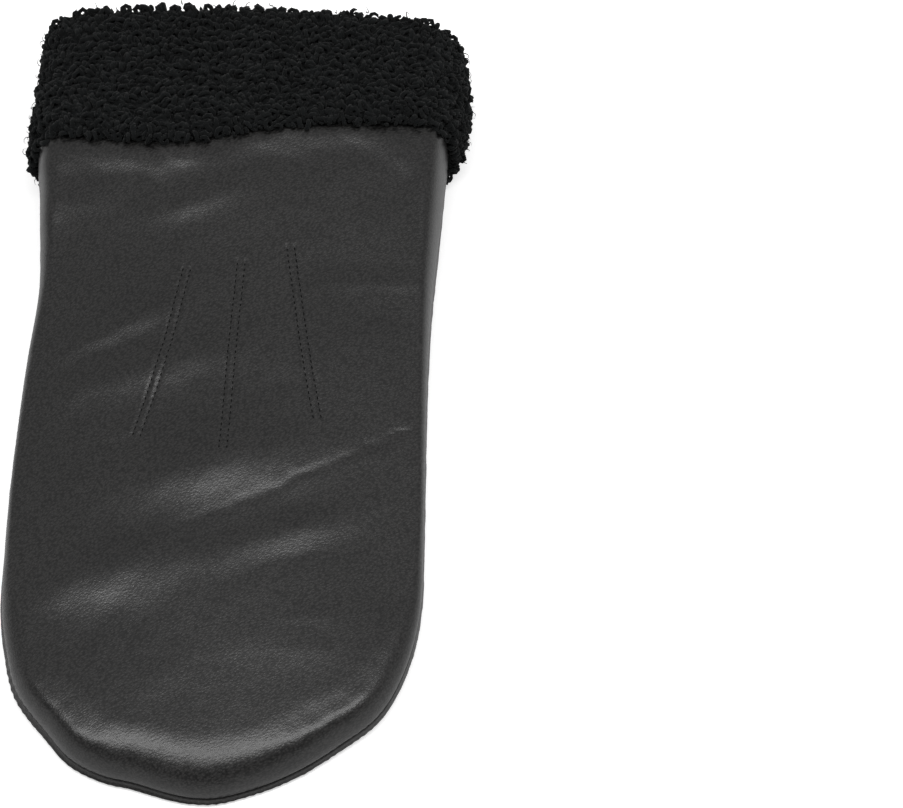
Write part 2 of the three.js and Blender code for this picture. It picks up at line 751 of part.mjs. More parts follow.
function piece(name, geometry, finish) {
  const mesh = new THREE.Mesh(geometry, new THREE.MeshStandardMaterial(finish));
  mesh.name = name;
  return mesh;
}

const leatherHand = new THREE.Group();
leatherHand.add(piece('back_panel', backPanel(), BLACK_LEATHER));
leatherHand.add(piece('palm_panel', palmPanel(), BLACK_LEATHER));
leatherHand.add(piece('thumb', thumb(), BLACK_LEATHER));

const mitten = new THREE.Group();
mitten.add(leatherHand);
mitten.add(piece('wool_cuff', woolCuff(), BLACK_WOOL));
mitten.position.y = -new THREE.Box3().setFromObject(mitten).getCenter(new THREE.Vector3()).y;

export default mitten;
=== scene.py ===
"""Dresses a left-hand leather mitten that lies palm down, with a curly wool cuff.

The leather panels, the thumb and the wool cuff are worked out again as fine surfaces over the same
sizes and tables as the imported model's solids, and each one replaces its solid. Shapes are worked out
in millimetres, with Y = 0 at the wrist seam, and are put in the row's frame, in metres, when they
become meshes.
"""

import logging
import math
from dataclasses import dataclass, field
from enum import Enum
from typing import Callable, Sequence

import bpy
import numpy as np
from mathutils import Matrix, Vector


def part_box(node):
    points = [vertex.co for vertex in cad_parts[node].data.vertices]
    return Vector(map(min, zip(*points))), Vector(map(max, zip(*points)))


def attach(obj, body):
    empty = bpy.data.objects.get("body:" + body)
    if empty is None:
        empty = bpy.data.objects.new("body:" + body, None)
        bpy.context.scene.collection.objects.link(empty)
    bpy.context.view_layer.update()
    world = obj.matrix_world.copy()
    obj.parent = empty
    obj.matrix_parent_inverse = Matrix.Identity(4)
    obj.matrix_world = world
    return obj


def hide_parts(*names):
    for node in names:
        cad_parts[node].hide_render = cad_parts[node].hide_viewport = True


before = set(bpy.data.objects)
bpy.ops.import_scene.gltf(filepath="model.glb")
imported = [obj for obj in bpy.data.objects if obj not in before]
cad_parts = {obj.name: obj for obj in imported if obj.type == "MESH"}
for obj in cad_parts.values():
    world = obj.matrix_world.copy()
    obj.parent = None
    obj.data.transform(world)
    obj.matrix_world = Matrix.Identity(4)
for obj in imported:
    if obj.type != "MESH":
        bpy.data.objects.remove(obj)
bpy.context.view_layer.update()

METRES = 0.001
TURN = 2 * math.pi
IMAGE_WIDTH = 903
SEED = 27

log = logging.getLogger("mitten")

Array = np.ndarray
Colour = tuple[float, float, float]
Surface = Callable[[Array, Array], tuple[Array, Array, Array]]


def mix(low: Array, high: Array, share: Array) -> Array:
    """Blends two values: low + (high - low) * share."""
    return low + (high - low) * share


def ease(start: float, end: float, value: Array) -> Array:
    """Rises smoothly from 0 at start to 1 at end, as 3 s^2 - 2 s^3 of the share s between them."""
    share = np.clip((value - start) / (end - start), 0.0, 1.0)
    return share * share * (3.0 - 2.0 * share)


def rounded_rise(share: Array, power: float) -> Array:
    """Quarter of a rounded corner: 0 at its foot and 1 from its full width on.

    The height h over the share s of the width follows (1 - s)^power + h^power = 1.
    """
    left = 1.0 - np.clip(share, 0.0, 1.0)
    return (1.0 - left**power) ** (1.0 / power)


def bell(value: Array, width: float) -> Array:
    """A bell curve of height 1, exp(-(value / width)^2)."""
    return np.exp(-((value / width) ** 2))


def way_along(x: Array, y: Array) -> Array:
    """The way run from the first point of a line to each of its points."""
    return np.concatenate([[0], np.cumsum(np.hypot(np.diff(x), np.diff(y)))])


class Table:
    """Rows of named values, read as a smooth curve through the rows."""

    def __init__(self, names: Sequence[str], rows: Sequence[Sequence[float]]) -> None:
        """Reads the rows.

        Args:
            names: The column names after the first column, which is the place along the table.
            rows: The numbers of each row.
        """
        self.names = tuple(names)
        self.rows = np.array(rows, float)

    def follow(self, name: str, place: Array) -> Array:
        """Reads one column at many places.

        Each stretch between two rows is a cubic with the slopes of the rows' neighbours.

        Args:
            name: The column's name.
            place: Places along the first column, held within its ends.

        Returns:
            The column's value at each place.
        """
        at = self.rows[:, 0]
        value = self.rows[:, 1 + self.names.index(name)]
        spot = np.clip(place, at[0], at[-1])
        row = np.clip(np.searchsorted(at, spot, side="left") - 1, 0, len(at) - 2)
        before = np.maximum(np.arange(len(at)) - 1, 0)
        after = np.minimum(np.arange(len(at)) + 1, len(at) - 1)
        slope = (value[after] - value[before]) / (at[after] - at[before])
        span = at[row + 1] - at[row]
        share = (spot - at[row]) / span
        square, cube = share**2, share**3
        return (
            (2 * cube - 3 * square + 1) * value[row]
            + (cube - 2 * square + share) * span * slope[row]
            + (3 * square - 2 * cube) * value[row + 1]
            + (cube - square) * span * slope[row + 1]
        )


class Ripple:
    """Smooth uneven relief: a sum of sine waves in many directions, the same on every run."""

    def __init__(
        self, wavelength: float, spread: float, seed: int, heading: float = 0, stray: float = 180
    ) -> None:
        """Draws the waves.

        Args:
            wavelength: The middle wavelength in millimetres.
            spread: How far wavelengths stray from it, as a share.
            seed: The seed of the random draw.
            heading: The way in which the relief changes fastest, in degrees from X.
            stray: How far the waves' own ways stray from it, in degrees.
        """
        waves = 16
        draw = np.random.default_rng(SEED * 1000 + seed)
        angle = np.radians(heading + draw.uniform(-stray, stray, waves))
        length = wavelength * (1 + spread * draw.uniform(-1, 1, waves))
        self.kx = TURN * np.cos(angle) / length
        self.ky = TURN * np.sin(angle) / length
        self.phase = draw.uniform(0, TURN, waves)
        self.scale = 1.0 / math.sqrt(waves / 2)

    def __call__(self, x: Array, y: Array) -> Array:
        """Adds up sin(kx x + ky y + phase) over the waves, scaled to a spread of about 1.

        Args:
            x: Places across the hand.
            y: Places along the hand.

        Returns:
            The relief at each place.
        """
        total = np.zeros(np.broadcast(x, y).shape)
        for kx, ky, phase in zip(self.kx, self.ky, self.phase):
            total += np.sin(kx * x + ky * y + phase)
        return total * self.scale


@dataclass(frozen=True)
class Fold:
    """A soft fold or hollow of the leather, in shares of the hand's sizes, turned from X."""

    across: float
    along: float
    turn: float
    length: float
    width: float
    depth: float


@dataclass(frozen=True)
class Wrinkle:
    """A narrower fold, or a hollow, that runs across the hand through three places.

    The places are shares of the hand's sizes. The width and the depth are in millimetres.
    """

    across: tuple[float, float, float]
    along: tuple[float, float, float]
    width: float
    depth: float


@dataclass(frozen=True)
class CreasePatch:
    """A patch of fine creases side by side, in shares of the hand's sizes, turned from X."""

    across: float
    along: float
    turn: float
    length: float
    breadth: float
    spacing: float
    depth: float


@dataclass
class Hand:
    """The form of the leather hand and its cuff, in millimetres, with Y = 0 at the wrist seam."""

    length: float = 221.0
    half_width: float = 61.5
    tip_length: float = 74.0
    tip_power: float = 2.1
    leather: float = 1.6
    seam_gap: float = 0.3
    seam_turn: float = 1.0
    seam_lip: float = 1.3
    back_height: float = 33.0
    back_crown: float = 5.5
    back_roll: float = 15.0
    back_power: float = 2.3
    seam_height: float = 15.0
    palm_roll: float = 12.0
    palm_power: float = 3.0
    thumb_side_bulge: float = 1.3
    far_side_bulge: float = 0.5
    wrist_lift_run: float = 34.0
    thumb_length: float = 88.0
    thumb_half_width: float = 19.5
    thumb_thickness: float = 13.0
    thumb_power: float = 2.5
    thumb_flat: float = 0.4
    thumb_tip: float = 24.0
    thumb_base_x: float = -27.0
    thumb_base_y: float = -32.0
    thumb_slant: float = 6.0
    thumb_rise: float = 3.3
    thumb_rise_run: float = 30.0
    thumb_clearance: float = 0.35
    recess_clearance: float = 1.4
    recess_slope: float = 13.0
    recess_start: float = 34.0
    cuff_length: float = 47.0
    mouth_lean: float = 4.0
    cuff_proud: float = 4.6
    cuff_bulge: float = 2.5
    cuff_wall: float = 7.5
    cuff_narrowing: float = 1.5
    cuff_edge: float = 3.0
    cuff_gap: float = 0.5
    sleeve_depth: float = 24.0
    sleeve_wall: float = 5.0
    sleeve_clearance: float = 0.5
    wrist_line_reach: float = 60.0
    outline: Table = field(default_factory=lambda: Table(
        ("thumb_side", "far_side"),
        (
            (0.0, 1.045, 1.02),
            (0.13, 1.005, 0.995),
            (0.235, 0.98, 0.975),
            (0.34, 1.0, 0.972),
            (0.44, 1.012, 0.977),
            (0.54, 1.018, 0.986),
            (0.665, 1.008, 0.995),
        ),
    ))
    tip_edge: Table = field(default_factory=lambda: Table(
        ("reach",),
        (
            (0.0, 1.0),
            (0.1, 1.006),
            (0.17, 1.022),
            (0.245, 0.999),
            (0.3, 1.004),
            (0.35, 0.985),
            (0.41, 0.955),
            (0.51, 0.973),
            (0.58, 0.953),
            (0.65, 0.945),
            (0.73, 0.957),
            (0.8, 0.998),
            (0.86, 1.006),
            (1.0, 1.0),
        ),
    ))
    sections: Table = field(default_factory=lambda: Table(
        ("back", "crown", "roll", "seam"),
        (
            (0.0, 1.0, 0.95, 0.8, 1.0),
            (0.15, 0.8, 1.5, 0.35, 0.95),
            (0.4, 0.558, 1.8, 0.16, 0.85),
            (0.7, 0.406, 1.4, 0.22, 0.55),
            (0.8, 0.433, 0.8, 0.7, 0.44),
            (0.88, 0.464, 0.3, 0.95, 0.34),
            (0.96, 0.442, 0.1, 0.98, 0.23),
            (1.0, 0.4, 0.0, 1.0, 0.21),
        ),
    ))
    wrist_line: Table = field(default_factory=lambda: Table(
        ("back", "palm"),
        (
            (-1.1, -0.02, -0.02),
            (-0.75, -0.11, 0.0),
            (-0.3, -0.16, 0.02),
            (0.0, -0.07, 0.04),
            (0.35, 0.01, 0.07),
            (0.7, 0.08, 0.1),
            (1.1, 0.15, 0.15),
        ),
    ))
    folds: tuple[Fold, ...] = (
        Fold(-0.19, 0.108, 17, 0.08, 0.026, 0.17),
        Fold(-0.63, 0.333, 23, 0.09, 0.023, 0.16),
        Fold(-0.465, 0.392, 12, 0.14, 0.033, 0.17),
        Fold(-0.11, 0.542, 17.7, 0.14, 0.044, 0.33),
        Fold(0.34, 0.632, 22, 0.09, 0.026, 0.19),
        Fold(-0.58, 0.7, 17.5, 0.13, 0.048, 0.32),
    )

    @property
    def tip_start(self) -> float:
        """Distance from the wrist seam to where the round tip begins."""
        return self.length - self.tip_length

    @property
    def tip_arc(self) -> float:
        """Way round the tip, as half the girth of an ellipse: pi * sqrt((a^2 + b^2) / 2)."""
        return math.pi * math.hypot(self.half_width, self.tip_length) / math.sqrt(2)

    @property
    def side_share(self) -> float:
        """Share of the way round the hand that one straight side takes up."""
        return self.tip_start / (2 * self.tip_start + self.tip_arc)

    @property
    def fan_centre(self) -> float:
        """The place on the middle line on which the lines from the tip's edge meet."""
        return -(self.tip_start + 0.4 * self.tip_length)

    @property
    def sleeve_inset(self) -> float:
        """Depth of the wool sleeve's outside below the leather's outer face."""
        return self.leather + self.seam_turn + self.sleeve_clearance

    @property
    def recess_height(self) -> float:
        """Height of the palm over the thumb."""
        return self.thumb_thickness + self.recess_clearance

    @property
    def shift(self) -> float:
        """Distance along Y from the wrist seam's frame to the row's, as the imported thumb's tip lies."""
        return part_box("thumb")[0].y / METRES - (self.thumb_base_y - self.thumb_length)

    def section(self, name: str, y: Array) -> Array:
        """Reads one column of the sections' table at places along the hand."""
        return self.sections.follow(name, -y / self.length)

    def slant(self, x: Array, y: Array, z: Array) -> tuple[Array, Array, Array]:
        """Gives the wrist seam its uneven run and the mouth of the cuff its lean.

        The seam's shift is read from the wrist line's table, between its palm and back columns by
        height, and fades out along the hand and towards the mouth.

        Args:
            x: Places across the hand.
            y: Places along the hand.
            z: Heights.

        Returns:
            The moved coordinates.
        """
        across = x / self.half_width
        on_back = ease(0, self.back_height, z)
        palm = self.wrist_line.follow("palm", across)
        shift = mix(palm, self.wrist_line.follow("back", across), on_back)
        to_mouth = ease(0, self.cuff_length, y)
        fading = np.where(y < 0, ease(-self.wrist_line_reach, 0, y), 1 - to_mouth)
        lean = self.mouth_lean * (1 - on_back) * to_mouth
        return x, y + shift * self.cuff_length * fading + lean, z

    def width(self, side: Array, y: Array) -> Array:
        """Distance from the middle line to the edge, on the side that has the sign of side.

        Args:
            side: Below 0 on the thumb side, else on the far side.
            y: Places along the hand.

        Returns:
            The distances.
        """
        along = -y / self.length
        thumb_side = self.outline.follow("thumb_side", along)
        return np.where(side < 0, thumb_side, self.outline.follow("far_side", along)) * self.half_width

    def edge(self, around: Array) -> tuple[Array, Array]:
        """The edge seen from above, from the thumb side of the wrist (0) round the tip (1).

        The sides follow the outline's table. The tip is a quarter of a superellipse each side,
        scaled from its middle by the tip's table.

        Args:
            around: Shares of the way round.

        Returns:
            The edge's x and y.
        """
        side = np.where(around < 0.5, -1.0, 1.0)
        from_wrist = np.minimum(around, 1 - around)
        along = np.minimum(from_wrist / self.side_share, 1) * self.tip_start
        half = self.width(side, -along)
        angle = (from_wrist - self.side_share) / (0.5 - self.side_share) * math.pi / 2
        angle = np.clip(angle, 0, math.pi / 2)
        reach = self.tip_edge.follow("reach", (around - self.side_share) / (1 - 2 * self.side_share))
        out = np.where(angle > 0, np.abs(np.cos(angle)) ** (2 / self.tip_power) * reach, 1)
        down = np.abs(np.sin(angle)) ** (2 / self.tip_power) * reach
        return side * half * out, -(along + self.tip_length * down)

    def along_and_across(self, mark: Fold | CreasePatch, x: Array, y: Array) -> tuple[Array, Array]:
        """Distances from a mark's middle, along its own direction and across it.

        Args:
            mark: The fold or the patch.
            x: Places across the hand.
            y: Places along the hand.

        Returns:
            The two distances in millimetres.
        """
        dx, dy = x - mark.across * self.half_width, y + mark.along * self.length
        turn = math.radians(mark.turn)
        cos, sin = math.cos(turn), math.sin(turn)
        return dx * cos + dy * sin, dy * cos - dx * sin

    def fold_height(self, x: Array, y: Array) -> Array:
        """Adds up the soft folds, each a long bell curve across and along its own direction.

        Args:
            x: Places across the hand.
            y: Places along the hand.

        Returns:
            The height that the folds add.
        """
        total = np.zeros(np.broadcast(x, y).shape)
        for fold in self.folds:
            along, across = self.along_and_across(fold, x, y)
            reach = bell(along, fold.length * self.length) * bell(across, fold.width * self.length)
            total += fold.depth * self.back_crown * reach
        return total

    def back_top(self, x: Array, y: Array, inward: Array) -> Array:
        """Top of the back away from its rounded edge: a low crown with soft folds."""
        crown = self.section("crown", y) * self.back_crown * (1 - (1 - inward) ** 2)
        return self.section("back", y) * self.back_height + crown + self.fold_height(x, y)

    def back_rise(self, from_edge: Array, y: Array) -> Array:
        """Height of the back between its seam (0) and its top (1), at a distance from its edge."""
        return rounded_rise(from_edge / (self.section("roll", y) * self.back_roll), self.back_power)

    def seam_level(self, y: Array) -> Array:
        """Height of the side seam."""
        return self.section("seam", y) * self.seam_height

    def thumb_axis(self, share: Array) -> tuple[Array, Array, Array]:
        """Middle line of the thumb, from its base inside the hand (0) to where its tip begins (1).

        Args:
            share: Shares of the straight part.

        Returns:
            The line's x, y and z.
        """
        y = self.thumb_base_y - share * (self.thumb_length - self.thumb_tip)
        risen = ease(-self.thumb_rise_run, 0, y - self.thumb_base_y)
        centre = (self.thumb_thickness - self.thumb_flat) / 2
        return self.thumb_base_x + self.thumb_slant * share, y, centre + self.thumb_rise * risen

    def beyond_thumb(self, x: Array, y: Array) -> Array:
        """Distance on the floor from the outline of the thumb, where it lies outside the hand.

        Args:
            x: Places across the hand.
            y: Places along the hand.

        Returns:
            The distances, below 0 inside the outline.
        """
        straight = self.thumb_length - self.thumb_tip
        share = np.clip((self.thumb_base_y - y) / straight, 0, 1)
        axis_x = self.thumb_base_x + self.thumb_slant * share
        past_tip = np.maximum(self.thumb_base_y - straight - y, 0)
        past_tip = past_tip * self.thumb_half_width / self.thumb_tip
        past_base = np.maximum(y - (self.thumb_base_y - self.recess_start), 0)
        return np.sqrt((x - axis_x) ** 2 + past_tip**2 + past_base**2) - self.thumb_half_width

    def palm_floor(self, x: Array, y: Array) -> Array:
        """Underside of the palm: level, lifted at the wrist and raised over the thumb.

        Args:
            x: Places across the hand.
            y: Places along the hand.

        Returns:
            The heights.
        """
        lift = self.cuff_proud * ease(-self.wrist_lift_run, 0, y)
        gap = self.beyond_thumb(x, y) - self.recess_clearance
        return np.maximum(lift, self.recess_height * (1 - ease(0, self.recess_slope, gap)))

    def section_curve(self, turn: Array, y: Array) -> tuple[Array, Array]:
        """Cross-section of the leather: thumb-side seam (0), back, far seam (0.5), palm (1).

        Args:
            turn: Shares of the way round the section.
            y: Places along the hand.

        Returns:
            The curve's x and z.
        """
        lap = turn - np.floor(turn)
        half = np.where(lap < 0.5, lap * 2, (1 - lap) * 2)
        side = np.where(half < 0.5, -1.0, 1.0)
        step = np.where(half < 0.5, half * 2, (1 - half) * 2)
        inward = 1 - np.cos(step * math.pi / 2)
        width = self.width(side, y)
        x = side * width * (1 - inward)
        rise = self.back_rise(width * inward, y)
        drop = rounded_rise(width * inward / self.palm_roll, self.palm_power)
        seam = self.seam_level(y)
        over = mix(seam, self.back_top(x, y, inward), rise)
        under = mix(seam, self.palm_floor(x, y), drop)
        return x, np.where(lap < 0.5, over, under)

    def section_point(self, turn: Array, y: Array, depth: Array) -> tuple[Array, Array]:
        """The cross-section pushed inwards by a depth, square to itself.

        Args:
            turn: Shares of the way round the section.
            y: Places along the hand.
            depth: Depths inside the leather.

        Returns:
            The points' x and z.
        """
        small = 2e-3
        x, z = self.section_curve(turn, y)
        ahead_x, ahead_z = self.section_curve(turn + small, y)
        behind_x, behind_z = self.section_curve(turn - small, y)
        tangent_x, tangent_z = ahead_x - behind_x, ahead_z - behind_z
        length = np.hypot(tangent_x, tangent_z)
        return x + tangent_z / length * depth, z - tangent_x / length * depth

    def cuff_point(self, turn: Array, y: Array, depth: Array) -> tuple[Array, Array, Array]:
        """A point of the cuff: the wrist's section carried to the mouth, level on the floor.

        At the far side it bulges by half a sine wave from the wrist to the mouth.

        Args:
            turn: Shares of the way round the section.
            y: Places along the hand.
            depth: Depths inside the leather.

        Returns:
            The points' x, y and z.
        """
        x, z = self.section_point(turn, np.minimum(y, 0), depth)
        to_mouth = np.clip(y / self.cuff_length, 0, 1)
        bulge = self.cuff_bulge * np.sin(math.pi * to_mouth) * ease(0, self.half_width, x)
        lowered = self.cuff_narrowing * to_mouth * (1 - ease(0, self.seam_height, z))
        return self.slant(x + bulge, y, np.maximum(z - lowered, 0))


def to_points(hand: Hand, x: Array, y: Array, z: Array) -> Array:
    """Stacks coordinates in the wrist seam's frame into rows of points in the row's frame.

    Args:
        hand: The hand, for its place in the row's frame.
        x: Places across the hand.
        y: Places along the hand.
        z: Heights.

    Returns:
        A row of three numbers for each point.
    """
    shape = np.broadcast(x, y, z).shape
    stack = [np.broadcast_to(part, shape).ravel() for part in (x, y + hand.shift, z)]
    return np.stack(stack, axis=1)


def make_mesh(
    name: str, points: Array, quads: Array, triangles: Array | None = None
) -> bpy.types.Object:
    """Makes a smooth-shaded mesh object from arrays, without the points that no face uses.

    Args:
        name: The object's name.
        points: Rows of X, Y and Z in millimetres.
        quads: Rows of four corners. A quad whose last two corners are one becomes a triangle.
        triangles: Rows of three corners, if there are any.

    Returns:
        The new object, at the origin.
    """
    parts = [] if triangles is None else [triangles]
    closed = quads[:, 2] == quads[:, 3]
    parts.append(quads[closed][:, :3])
    quads = quads[~closed]
    triangles = np.concatenate(parts) if parts else np.zeros((0, 3), int)
    corners = np.concatenate([quads.ravel(), triangles.ravel()])
    used, corners = np.unique(corners, return_inverse=True)
    totals = np.concatenate([np.full(len(quads), 4), np.full(len(triangles), 3)])
    mesh = bpy.data.meshes.new(name)
    mesh.vertices.add(len(used))
    mesh.vertices.foreach_set("co", (points[used] * METRES).astype(np.float32).ravel())
    mesh.loops.add(len(corners))
    mesh.loops.foreach_set("vertex_index", corners.astype(np.int32).ravel())
    mesh.polygons.add(len(totals))
    starts = np.concatenate([[0], np.cumsum(totals)[:-1]])
    mesh.polygons.foreach_set("loop_start", starts.astype(np.int32))
    mesh.polygons.foreach_set("loop_total", totals.astype(np.int32))
    mesh.polygons.foreach_set("use_smooth", np.ones(len(totals), bool))
    mesh.update(calc_edges=True)
    mesh.validate()
    piece = bpy.data.objects.new(name, mesh)
    bpy.context.scene.collection.objects.link(piece)
    return piece


def cells(number: Array, wrap: bool = False) -> Array:
    """Corners of the cells of a numbered grid of points.

    Args:
        number: The points' numbers, row by row.
        wrap: Whether the last column joins the first.

    Returns:
        Rows of four corners, each cell's turning from its row to the next.
    """
    here, after = (number, np.roll(number, -1, 1)) if wrap else (number[:, :-1], number[:, 1:])
    corners = [here[:-1], after[:-1], after[1:], here[1:]]
    return np.stack([corner.ravel() for corner in corners], axis=1)


def turned_over(quads: Array) -> Array:
    """Quads facing the other way, where a cell that is a triangle keeps its two like corners last."""
    folded = quads[:, 2] == quads[:, 3]
    return np.where(folded[:, None], quads[:, [1, 0, 3, 2]], quads[:, [0, 3, 2, 1]])


class Side(Enum):
    """Which leather panel a sheet belongs to, as the sign of its way out."""

    BACK = 1
    PALM = -1


@dataclass
class LeatherPanel:
    """A leather panel: an outer and an inner sheet over the hand's outline, sewn in at its edge.

    Both sheets are grids. A column starts on the edge and runs to the middle line, and the columns
    from the tip's edge all meet at the fan's centre. A row follows the edge round the hand.
    """

    hand: Hand
    name: str
    side: Side
    columns: Array
    inward: Array
    inner_every: int
    lip_rows: int = 5

    def place(self) -> dict[str, Array]:
        """Works out the places of the grid seen from above.

        Returns:
            x and y, inward (0 on the edge, 1 on the middle line), the distance from the edge, the
            edge's own y, the way to the centre as cx and cy, and the way run along the edge.
        """
        hand = self.hand
        rim_x, rim_y = hand.edge(self.columns)
        centre_y = np.maximum(rim_y, hand.fan_centre)
        reach = np.hypot(rim_x, centre_y - rim_y)
        inward = self.inward[:, None]
        run = way_along(rim_x, rim_y)
        return {
            "x": mix(rim_x, 0.0, inward),
            "y": mix(rim_y, centre_y, inward),
            "inward": np.broadcast_to(inward, (len(self.inward), len(rim_x))),
            "from_edge": inward * reach,
            "rim_x": rim_x,
            "rim_y": rim_y,
            "cx": -rim_x / reach,
            "cy": (centre_y - rim_y) / reach,
            "run": run,
        }

    def base(self, spot: dict[str, Array]) -> tuple[Array, Array, Array]:
        """The plain outer surface over the grid's places, in millimetres.

        Args:
            spot: The grid's places, from place.

        Returns:
            The surface's x, y and z.
        """
        hand, sign = self.hand, self.side.value
        seam = hand.seam_level(spot["rim_y"]) + sign * hand.seam_lip
        if self.side is Side.BACK:
            rise = hand.back_rise(spot["from_edge"], spot["rim_y"])
            top = hand.back_top(spot["x"], spot["y"], spot["inward"])
            return spot["x"], spot["y"], mix(seam, top, rise)
        drop = rounded_rise(spot["from_edge"] / hand.palm_roll, hand.palm_power)
        far = ease(-hand.half_width, hand.half_width, spot["x"])
        bulge = mix(hand.thumb_side_bulge, hand.far_side_bulge, far) * 4 * drop * (1 - drop)
        x = spot["x"] - spot["cx"] * bulge
        y = spot["y"] - spot["cy"] * bulge
        return x, y, mix(seam, hand.palm_floor(spot["x"], spot["y"]), drop)

    def relief(self, spot: dict[str, Array]) -> Array:
        """Fine relief along the surface's own way out, in millimetres."""
        return np.zeros_like(spot["x"])

    def normals(self, grid: Array) -> Array:
        """Ways out of a grid of points, from the cross product of its two directions.

        Args:
            grid: The points, as row, column, coordinate.

        Returns:
            A way of length 1 at each point.
        """
        around = np.gradient(grid, axis=1)
        inwards = np.gradient(grid, axis=0)
        normal = np.cross(around, inwards) * self.side.value
        normal[0, :, 2] = 0
        length = np.linalg.norm(normal, axis=2, keepdims=True)
        flat = np.array([0.0, 0.0, float(self.side.value)])
        return np.where(length > 1e-9, normal / np.maximum(length, 1e-9), flat)

    def build(self) -> bpy.types.Object:
        """Makes the closed panel.

        Returns:
            The panel's object.
        """
        hand, sign = self.hand, self.side.value
        spot = self.place()
        grid = np.stack(self.base(spot), axis=2)
        normal = self.normals(grid)
        outer = grid + normal * self.relief(spot)[:, :, None]
        if self.side is Side.PALM:
            outer[:, :, 2] = np.maximum(outer[:, :, 2], 0.0)
        kept = np.arange(0, len(self.inward), self.inner_every)
        inner = grid[kept] - normal[kept] * hand.leather
        angle = np.linspace(0, math.pi / 2, self.lip_rows + 1)[:-1, None]
        inset = hand.seam_turn * (1 - np.sin(angle))
        half_gap = hand.seam_gap / 2
        lip_z = half_gap + (hand.seam_lip - half_gap) * (1 - np.cos(angle))
        level = hand.seam_level(spot["rim_y"])

        def turned(depth: Array, height: Array) -> Array:
            """Points at a depth inside the edge and a height beyond the seam."""
            x = spot["rim_x"] + spot["cx"] * depth
            y = spot["rim_y"] + spot["cy"] * depth
            return np.stack(np.broadcast_arrays(x, y, level + sign * height), axis=2)

        outer = np.concatenate([turned(inset, lip_z), outer])
        foot = turned(np.array([[hand.seam_turn + hand.leather]]), np.array([[half_gap]]))
        inner = np.concatenate([foot, inner])
        return self.close(outer, inner)

    def close(self, outer: Array, inner: Array) -> bpy.types.Object:
        """Joins the two sheets at the middle line, the edge and the wrist, and makes the mesh.

        Args:
            outer: The outer sheet's points, from the seam's lip inwards.
            inner: The inner sheet's points.

        Returns:
            The piece's object.
        """
        columns = outer.shape[1]
        count = columns - 1
        mirrored = np.minimum(np.arange(columns), count - np.arange(columns))
        past_fan = int(np.argmax(self.hand.edge(self.columns)[1] <= self.hand.fan_centre))
        mirrored = np.minimum(mirrored, past_fan)

        def numbered(rows: int, start: int) -> Array:
            """Point numbers of a sheet, with the last row's halves made one."""
            number = start + np.arange(rows * columns).reshape(rows, columns)
            number[-1] = number[-1][mirrored]
            return number

        outside = numbered(len(outer), 0)
        within = numbered(len(inner), outside.size)
        step = self.inner_every
        first = self.lip_rows
        rim = [outside[0, 1:], outside[0, :-1], within[0, :-1], within[0, 1:]]
        quads = np.concatenate([cells(outside), turned_over(cells(within)), np.stack(rim, axis=1)])
        fans = []
        for column, turned in ((0, False), (count, True)):
            out = outside[:, column]
            ins = within[:, column]
            lip = np.stack([out[:first], out[1 : first + 1], np.full(first, ins[0])], axis=1)
            fans.append(lip[:, ::-1] if turned else lip)
            joint = np.array([[out[first], ins[1], ins[0]]])
            fans.append(joint[:, ::-1] if turned else joint)
            starts = np.arange(first, len(out) - 1)
            owner = ins[1 + np.minimum((starts - first) // step, len(ins) - 2)]
            spread = np.stack([out[starts], out[starts + 1], owner], axis=1)
            fans.append(spread[:, ::-1] if turned else spread)
            knots = first + step * np.arange(1, len(ins) - 1)
            links = np.stack([out[knots], ins[2:], ins[1:-1]], axis=1)
            fans.append(links[:, ::-1] if turned else links)
        points = np.concatenate([outer.reshape(-1, 3), inner.reshape(-1, 3)])
        moved = to_points(self.hand, *self.hand.slant(points[:, 0], points[:, 1], points[:, 2]))
        triangles = np.concatenate(fans)
        if self.side is Side.PALM:
            folded = quads[:, 2] == quads[:, 3]
            quads = np.where(folded[:, None], quads[:, [1, 0, 2, 3]], quads[:, ::-1])
            triangles = triangles[:, ::-1]
        return make_mesh(self.name, moved, quads, triangles)


@dataclass(frozen=True)
class PointLine:
    """One raised stitched line of the back: three places, in shares of the hand's sizes."""

    across: tuple[float, float, float]
    along: tuple[float, float, float]


POINT_LINES = (
    PointLine((-0.225, -0.308, -0.414), (0.225, 0.366, 0.495)),
    PointLine((0.038, 0.022, 0.014), (0.215, 0.365, 0.518)),
    PointLine((0.271, 0.38, 0.457), (0.188, 0.356, 0.457)),
)
STITCH_PITCH = 2.05
SEAM_PITCH = 1.3 * STITCH_PITCH
NEEDLE_ROW = 1.15


def point_line_path(hand: Hand, line: PointLine, share: Array) -> tuple[Array, Array]:
    """Reads a raised line's places at shares of its length, on a smooth curve.

    Args:
        hand: The hand.
        line: The raised line.
        share: Shares of its length.

    Returns:
        The line's x and y.
    """
    rows = [(at, line.across[i], line.along[i]) for i, at in enumerate((0.0, 0.5, 1.0))]
    table = Table(("across", "along"), rows)
    x = table.follow("across", share) * hand.half_width
    return x, -table.follow("along", share) * hand.length


